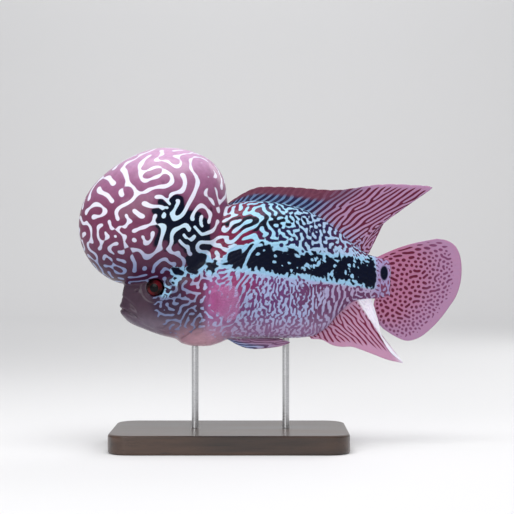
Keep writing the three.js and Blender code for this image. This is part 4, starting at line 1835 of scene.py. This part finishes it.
@dataclass(frozen=True)
class FishFinish:
    """Wet fish skin: marks from the mesh, fine bumps and a clear slippery coat."""

    name: str
    roughness: float = 0.38
    coat: float = 0.35
    edge: float = 0.16
    grain: float = 0.16
    bump_height: float = 0.00006
    bump_scale: float = 900.0
    flesh: float = 0.08
    alpha: float = 1.0
    ray_alpha: float = 1.0
    shine: float = 0.07

    def make(self, marks: bpy.types.NodeTree) -> bpy.types.Material:
        """Builds the material.

        Args:
            marks: The shared group of fish marks.

        Returns:
            The material.
        """
        n = Shader(self.name, {
            "Coat Roughness": 0.12, "Specular IOR Level": self.shine, "Subsurface Weight": self.flesh,
            "Subsurface Radius": (0.003, 0.0012, 0.001), "Subsurface Scale": 1.0,
        })
        group = n.add("Group", node_tree=marks)
        group.inputs["Edge"].default_value = self.edge
        group.inputs["Grain"].default_value = self.grain
        for name, output in (("base", "Color"), ("line", "Color"), ("worm", "Fac"), ("black", "Fac")):
            n.join(n.attribute(name, output), group.inputs[name.title()])
        dark = group.outputs["Dark"]
        patch = n.math("MULTIPLY_ADD", n.noise(500.0, 2.0), 0.22, self.roughness - 0.11)
        n.feed("Base Color", group.outputs["Colour"])
        n.feed("Roughness", n.math("MULTIPLY_ADD", dark, 0.08, patch))
        n.feed("Coat Weight", n.math("MULTIPLY_ADD", dark, -0.7 * self.coat, self.coat))
        height = n.math("MULTIPLY_ADD", group.outputs["Pale"], 0.8, n.noise(self.bump_scale, 3.0))
        n.relief(height, self.bump_height, 0.8)
        if self.alpha < 1:
            solid = n.math("MULTIPLY_ADD", n.attribute("ray"), self.ray_alpha - self.alpha, self.alpha)
            near_base = n.math("SUBTRACT", 1.0, n.math("MULTIPLY", n.attribute("outward"), 1.6), clamp=True)
            n.feed("Alpha", n.math("MAXIMUM", solid, near_base))
        return n.material


@dataclass(frozen=True)
class EyeFinish:
    """Polished eye: colours from the mesh under a clear hard coat."""

    name: str = "eye_gloss"
    coat: float = 0.14

    def make(self) -> bpy.types.Material:
        """Builds the material.

        Returns:
            The material.
        """
        n = Shader(self.name, {
            "Roughness": 0.25, "Specular IOR Level": 0.08, "Coat Weight": self.coat,
            "Coat Roughness": 0.02, "Coat IOR": 1.45,
        })
        n.feed("Base Color", n.attribute("base", "Color"))
        return n.material


@dataclass(frozen=True)
class WoodFinish:
    """Dark stained wood with its grain along the base, under satin lacquer."""

    name: str = "dark_wood"
    early: Colour = (0.016, 0.008, 0.005)
    late: Colour = (0.075, 0.036, 0.02)
    pore: Colour = (0.008, 0.004, 0.003)

    def make(self) -> bpy.types.Material:
        """Builds the material: long noise for the growth lines, short noise for the pores.

        Returns:
            The material.
        """
        n = Shader(self.name, {"Coat Weight": 0.4, "Coat Roughness": 0.18})
        grain = n.noise(110.0, 6.0, (0.09, 1.0, 1.0))
        pores = n.noise(900.0, 2.0, (0.05, 1.0, 1.0))
        tone = n.blend(n.math("MULTIPLY_ADD", grain, 2.4, -0.7, clamp=True), self.early, self.late)
        open_pore = n.math("MULTIPLY", n.math("LESS_THAN", pores, 0.36), 0.5)
        n.feed("Base Color", n.blend(open_pore, tone, self.pore))
        n.feed("Roughness", n.math("MULTIPLY_ADD", grain, 0.18, 0.26))
        n.relief(pores, 0.00008, 0.5)
        return n.material


@dataclass(frozen=True)
class SteelFinish:
    """Brushed steel with marks round the rod."""

    name: str = "rod_steel"
    dull: Colour = (0.44, 0.45, 0.46)
    bright: Colour = (0.62, 0.62, 0.63)

    def make(self) -> bpy.types.Material:
        """Builds the material: noise squeezed along the rod gives the brush marks.

        Returns:
            The material.
        """
        n = Shader(self.name, {"Metallic": 1.0})
        brush = n.noise(260.0, 3.0, (1.0, 1.0, 14.0))
        n.feed("Base Color", n.blend(brush, self.dull, self.bright))
        n.feed("Roughness", n.math("MULTIPLY_ADD", brush, 0.2, 0.2))
        n.relief(brush, 0.00002)
        return n.material


# Studio


@dataclass(frozen=True)
class Studio:
    """Pale floor that sweeps up behind, soft lights, and the camera level with the fish."""

    aim_x: float = -0.009885
    aim_z: float = 0.142125
    distance: float = 1.0708
    lens: float = 100.0
    sensor: float = 36.0
    floor_reach: float = 12.0
    wall_y: float = 3.0
    wall_top: float = 5.0
    sweep: float = 0.8
    sky: float = 0.5
    lights: Sequence[tuple[str, Sequence[float], tuple[float, float], float, Sequence[float]]] = (
        ("top_light", (-0.10, -0.25, 1.15), (0.9, 0.7), 9.5, (-0.01, 0.0, 0.142)),
        ("front_light", (-0.7, -1.5, 0.6), (1.0, 0.8), 8.0, (-0.01, 0.0, 0.142)),
        ("wall_light", (0.0, 1.5, 1.7), (2.4, 0.6), 13.0, (0.0, 3.0, 1.0)),
        ("rear_light", (0.9, 0.9, 0.8), (0.8, 0.8), 6.0, (-0.01, 0.0, 0.142)),
    )

    def floor(self) -> None:
        """A floor that turns up into a wall far behind, a quarter circle carried along x."""
        turn = np.linspace(0, np.pi / 2, 24)
        bend_y = self.wall_y - self.sweep + self.sweep * np.sin(turn)
        y = np.concatenate([[-self.floor_reach], bend_y, [self.wall_y]])
        z = np.concatenate([[0.0], self.sweep - self.sweep * np.cos(turn), [self.wall_top]])
        x = np.array([-self.floor_reach, self.floor_reach])
        points = np.stack(np.broadcast_arrays(x[:, None], y[None], z[None]), -1).reshape(-1, 3)
        mesh = bpy.data.meshes.new("floor")
        quads = grid_quads(2, len(y))
        mesh.from_pydata(points.tolist(), [], quads.tolist())
        mesh.polygons.foreach_set("use_smooth", np.ones(len(quads), bool))
        paper = Shader("paper", {"Base Color": (0.78, 0.78, 0.79, 1), "Roughness": 0.9})
        mesh.materials.append(paper.material)
        linked("floor", mesh)

    @staticmethod
    def light(
        name: str, place: Sequence[float], size: tuple[float, float], power: float, at: Sequence[float]
    ) -> None:
        """A soft rectangular light turned to a point.

        Args:
            name: Name of the light.
            place: Its place in metres.
            size: Width and height in metres.
            power: Watts.
            at: Point that it shines at.
        """
        data = bpy.data.lights.new(name, "AREA")
        data.shape = "RECTANGLE"
        data.size, data.size_y = size
        data.energy = power
        made = linked(name, data)
        made.location = place
        away = np.array(place) - np.array(at)
        flat = math.hypot(away[0], away[1])
        made.rotation_euler = (math.atan2(flat, away[2]), 0, math.atan2(away[1], away[0]) + math.pi / 2)

    def build(self) -> None:
        """Adds the floor, the lights, the pale surroundings and the camera."""
        self.floor()
        for row in self.lights:
            self.light(*row)
        world = bpy.data.worlds.new("studio")
        world.use_nodes = True
        background = world.node_tree.nodes["Background"]
        background.inputs[0].default_value = (1.0, 1.0, 1.0, 1)
        background.inputs[1].default_value = self.sky
        scene = bpy.context.scene
        scene.world = world
        camera = bpy.data.cameras.new("camera")
        camera.lens = self.lens
        camera.sensor_width = self.sensor
        camera.clip_start, camera.clip_end = 0.05, 30.0
        made = linked("camera", camera)
        made.location = (self.aim_x, -self.distance, self.aim_z)
        made.rotation_euler = (math.pi / 2, 0, 0)
        scene.camera = made
        scene.view_settings.view_transform = "Standard"


FLESH_NODES = ("nuchal_hump", "head", "upper_jaw", "lower_jaw", "gill_cover_left", "gill_cover_right",
               "trunk", "tail_stalk")
REPLACED_FINS = {
    "dorsal_fin": ("dorsal_fin_spiny", "dorsal_fin_soft"),
    "anal_fin": ("anal_fin",),
    "tail_fin": ("tail_fin",),
}


def settle(piece: bpy.types.Object, slot: str, *nodes: str) -> None:
    """Makes a piece ride on the part and stand for its CAD nodes, which it hides.

    Args:
        piece: The piece.
        slot: Name of its finish; not used.
        nodes: Names of the CAD nodes that it stands for.
    """
    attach(piece, "root")
    if nodes:
        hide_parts(*nodes)
    LOG.info("%s: %d faces", piece.name, len(piece.data.polygons))


def main() -> None:
    """Builds the classes in order and reports each piece."""
    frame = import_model()
    Studio().build()
    marks = fish_marks_group()
    smooth_skin = FishFinish("fish_skin", roughness=0.36, coat=0.4, edge=0.25).make(marks)
    scale_skin = FishFinish("scale_skin", roughness=0.34, coat=0.35, edge=0.3).make(marks)
    fin_skin = FishFinish("fin_skin", roughness=0.42, coat=0.2, flesh=0.15, edge=0.35).make(marks)
    clear = FishFinish("clear_fin", roughness=0.3, coat=0.3, alpha=0.2, ray_alpha=0.5, flesh=0.0)
    clear_skin = clear.make(marks)
    skin = BodySkin()
    body = skin.mesh().object("body_skin", smooth_skin)
    settle(body, "scaled_skin", *FLESH_NODES)
    for side in Side:
        coat = ScaleCoat(skin, side).mesh().object("scales_" + side.name.lower(), scale_skin)
        settle(coat, "scaled_skin")
    fins = FinSet()
    for name, fin in fins.unpaired().items():
        settle(fin.mesh().object(name + "_skin", fin_skin), "fin_skin", *REPLACED_FINS[name])
    eye_gloss = EyeFinish().make()
    for side in Side:
        word = side.name.lower()
        pelvic = fins.pelvic(side).mesh().object("pelvic_" + word, fin_skin)
        settle(pelvic, "fin_skin", "pelvic_fin_" + word)
        pectoral = fins.pectoral(side).mesh().object("pectoral_" + word, clear_skin)
        settle(pectoral, "clear_fin", "pectoral_fin_" + word)
        eye = Eye(side).mesh().object("eyeball_" + word, eye_gloss)
        settle(eye, "eye_gloss", "eye_" + word)
    wood, steel = WoodFinish().make(), SteelFinish().make()
    for name, material in (("stand_base", wood), ("stand_rod_front", steel), ("stand_rod_rear", steel)):
        piece = frame["nodes"][name]
        piece.material_slots[0].material = material
        LOG.info("%s: finished", name)


if __name__ == "__main__":
    logging.basicConfig(level=logging.INFO, format="%(name)s: %(message)s")
    main()
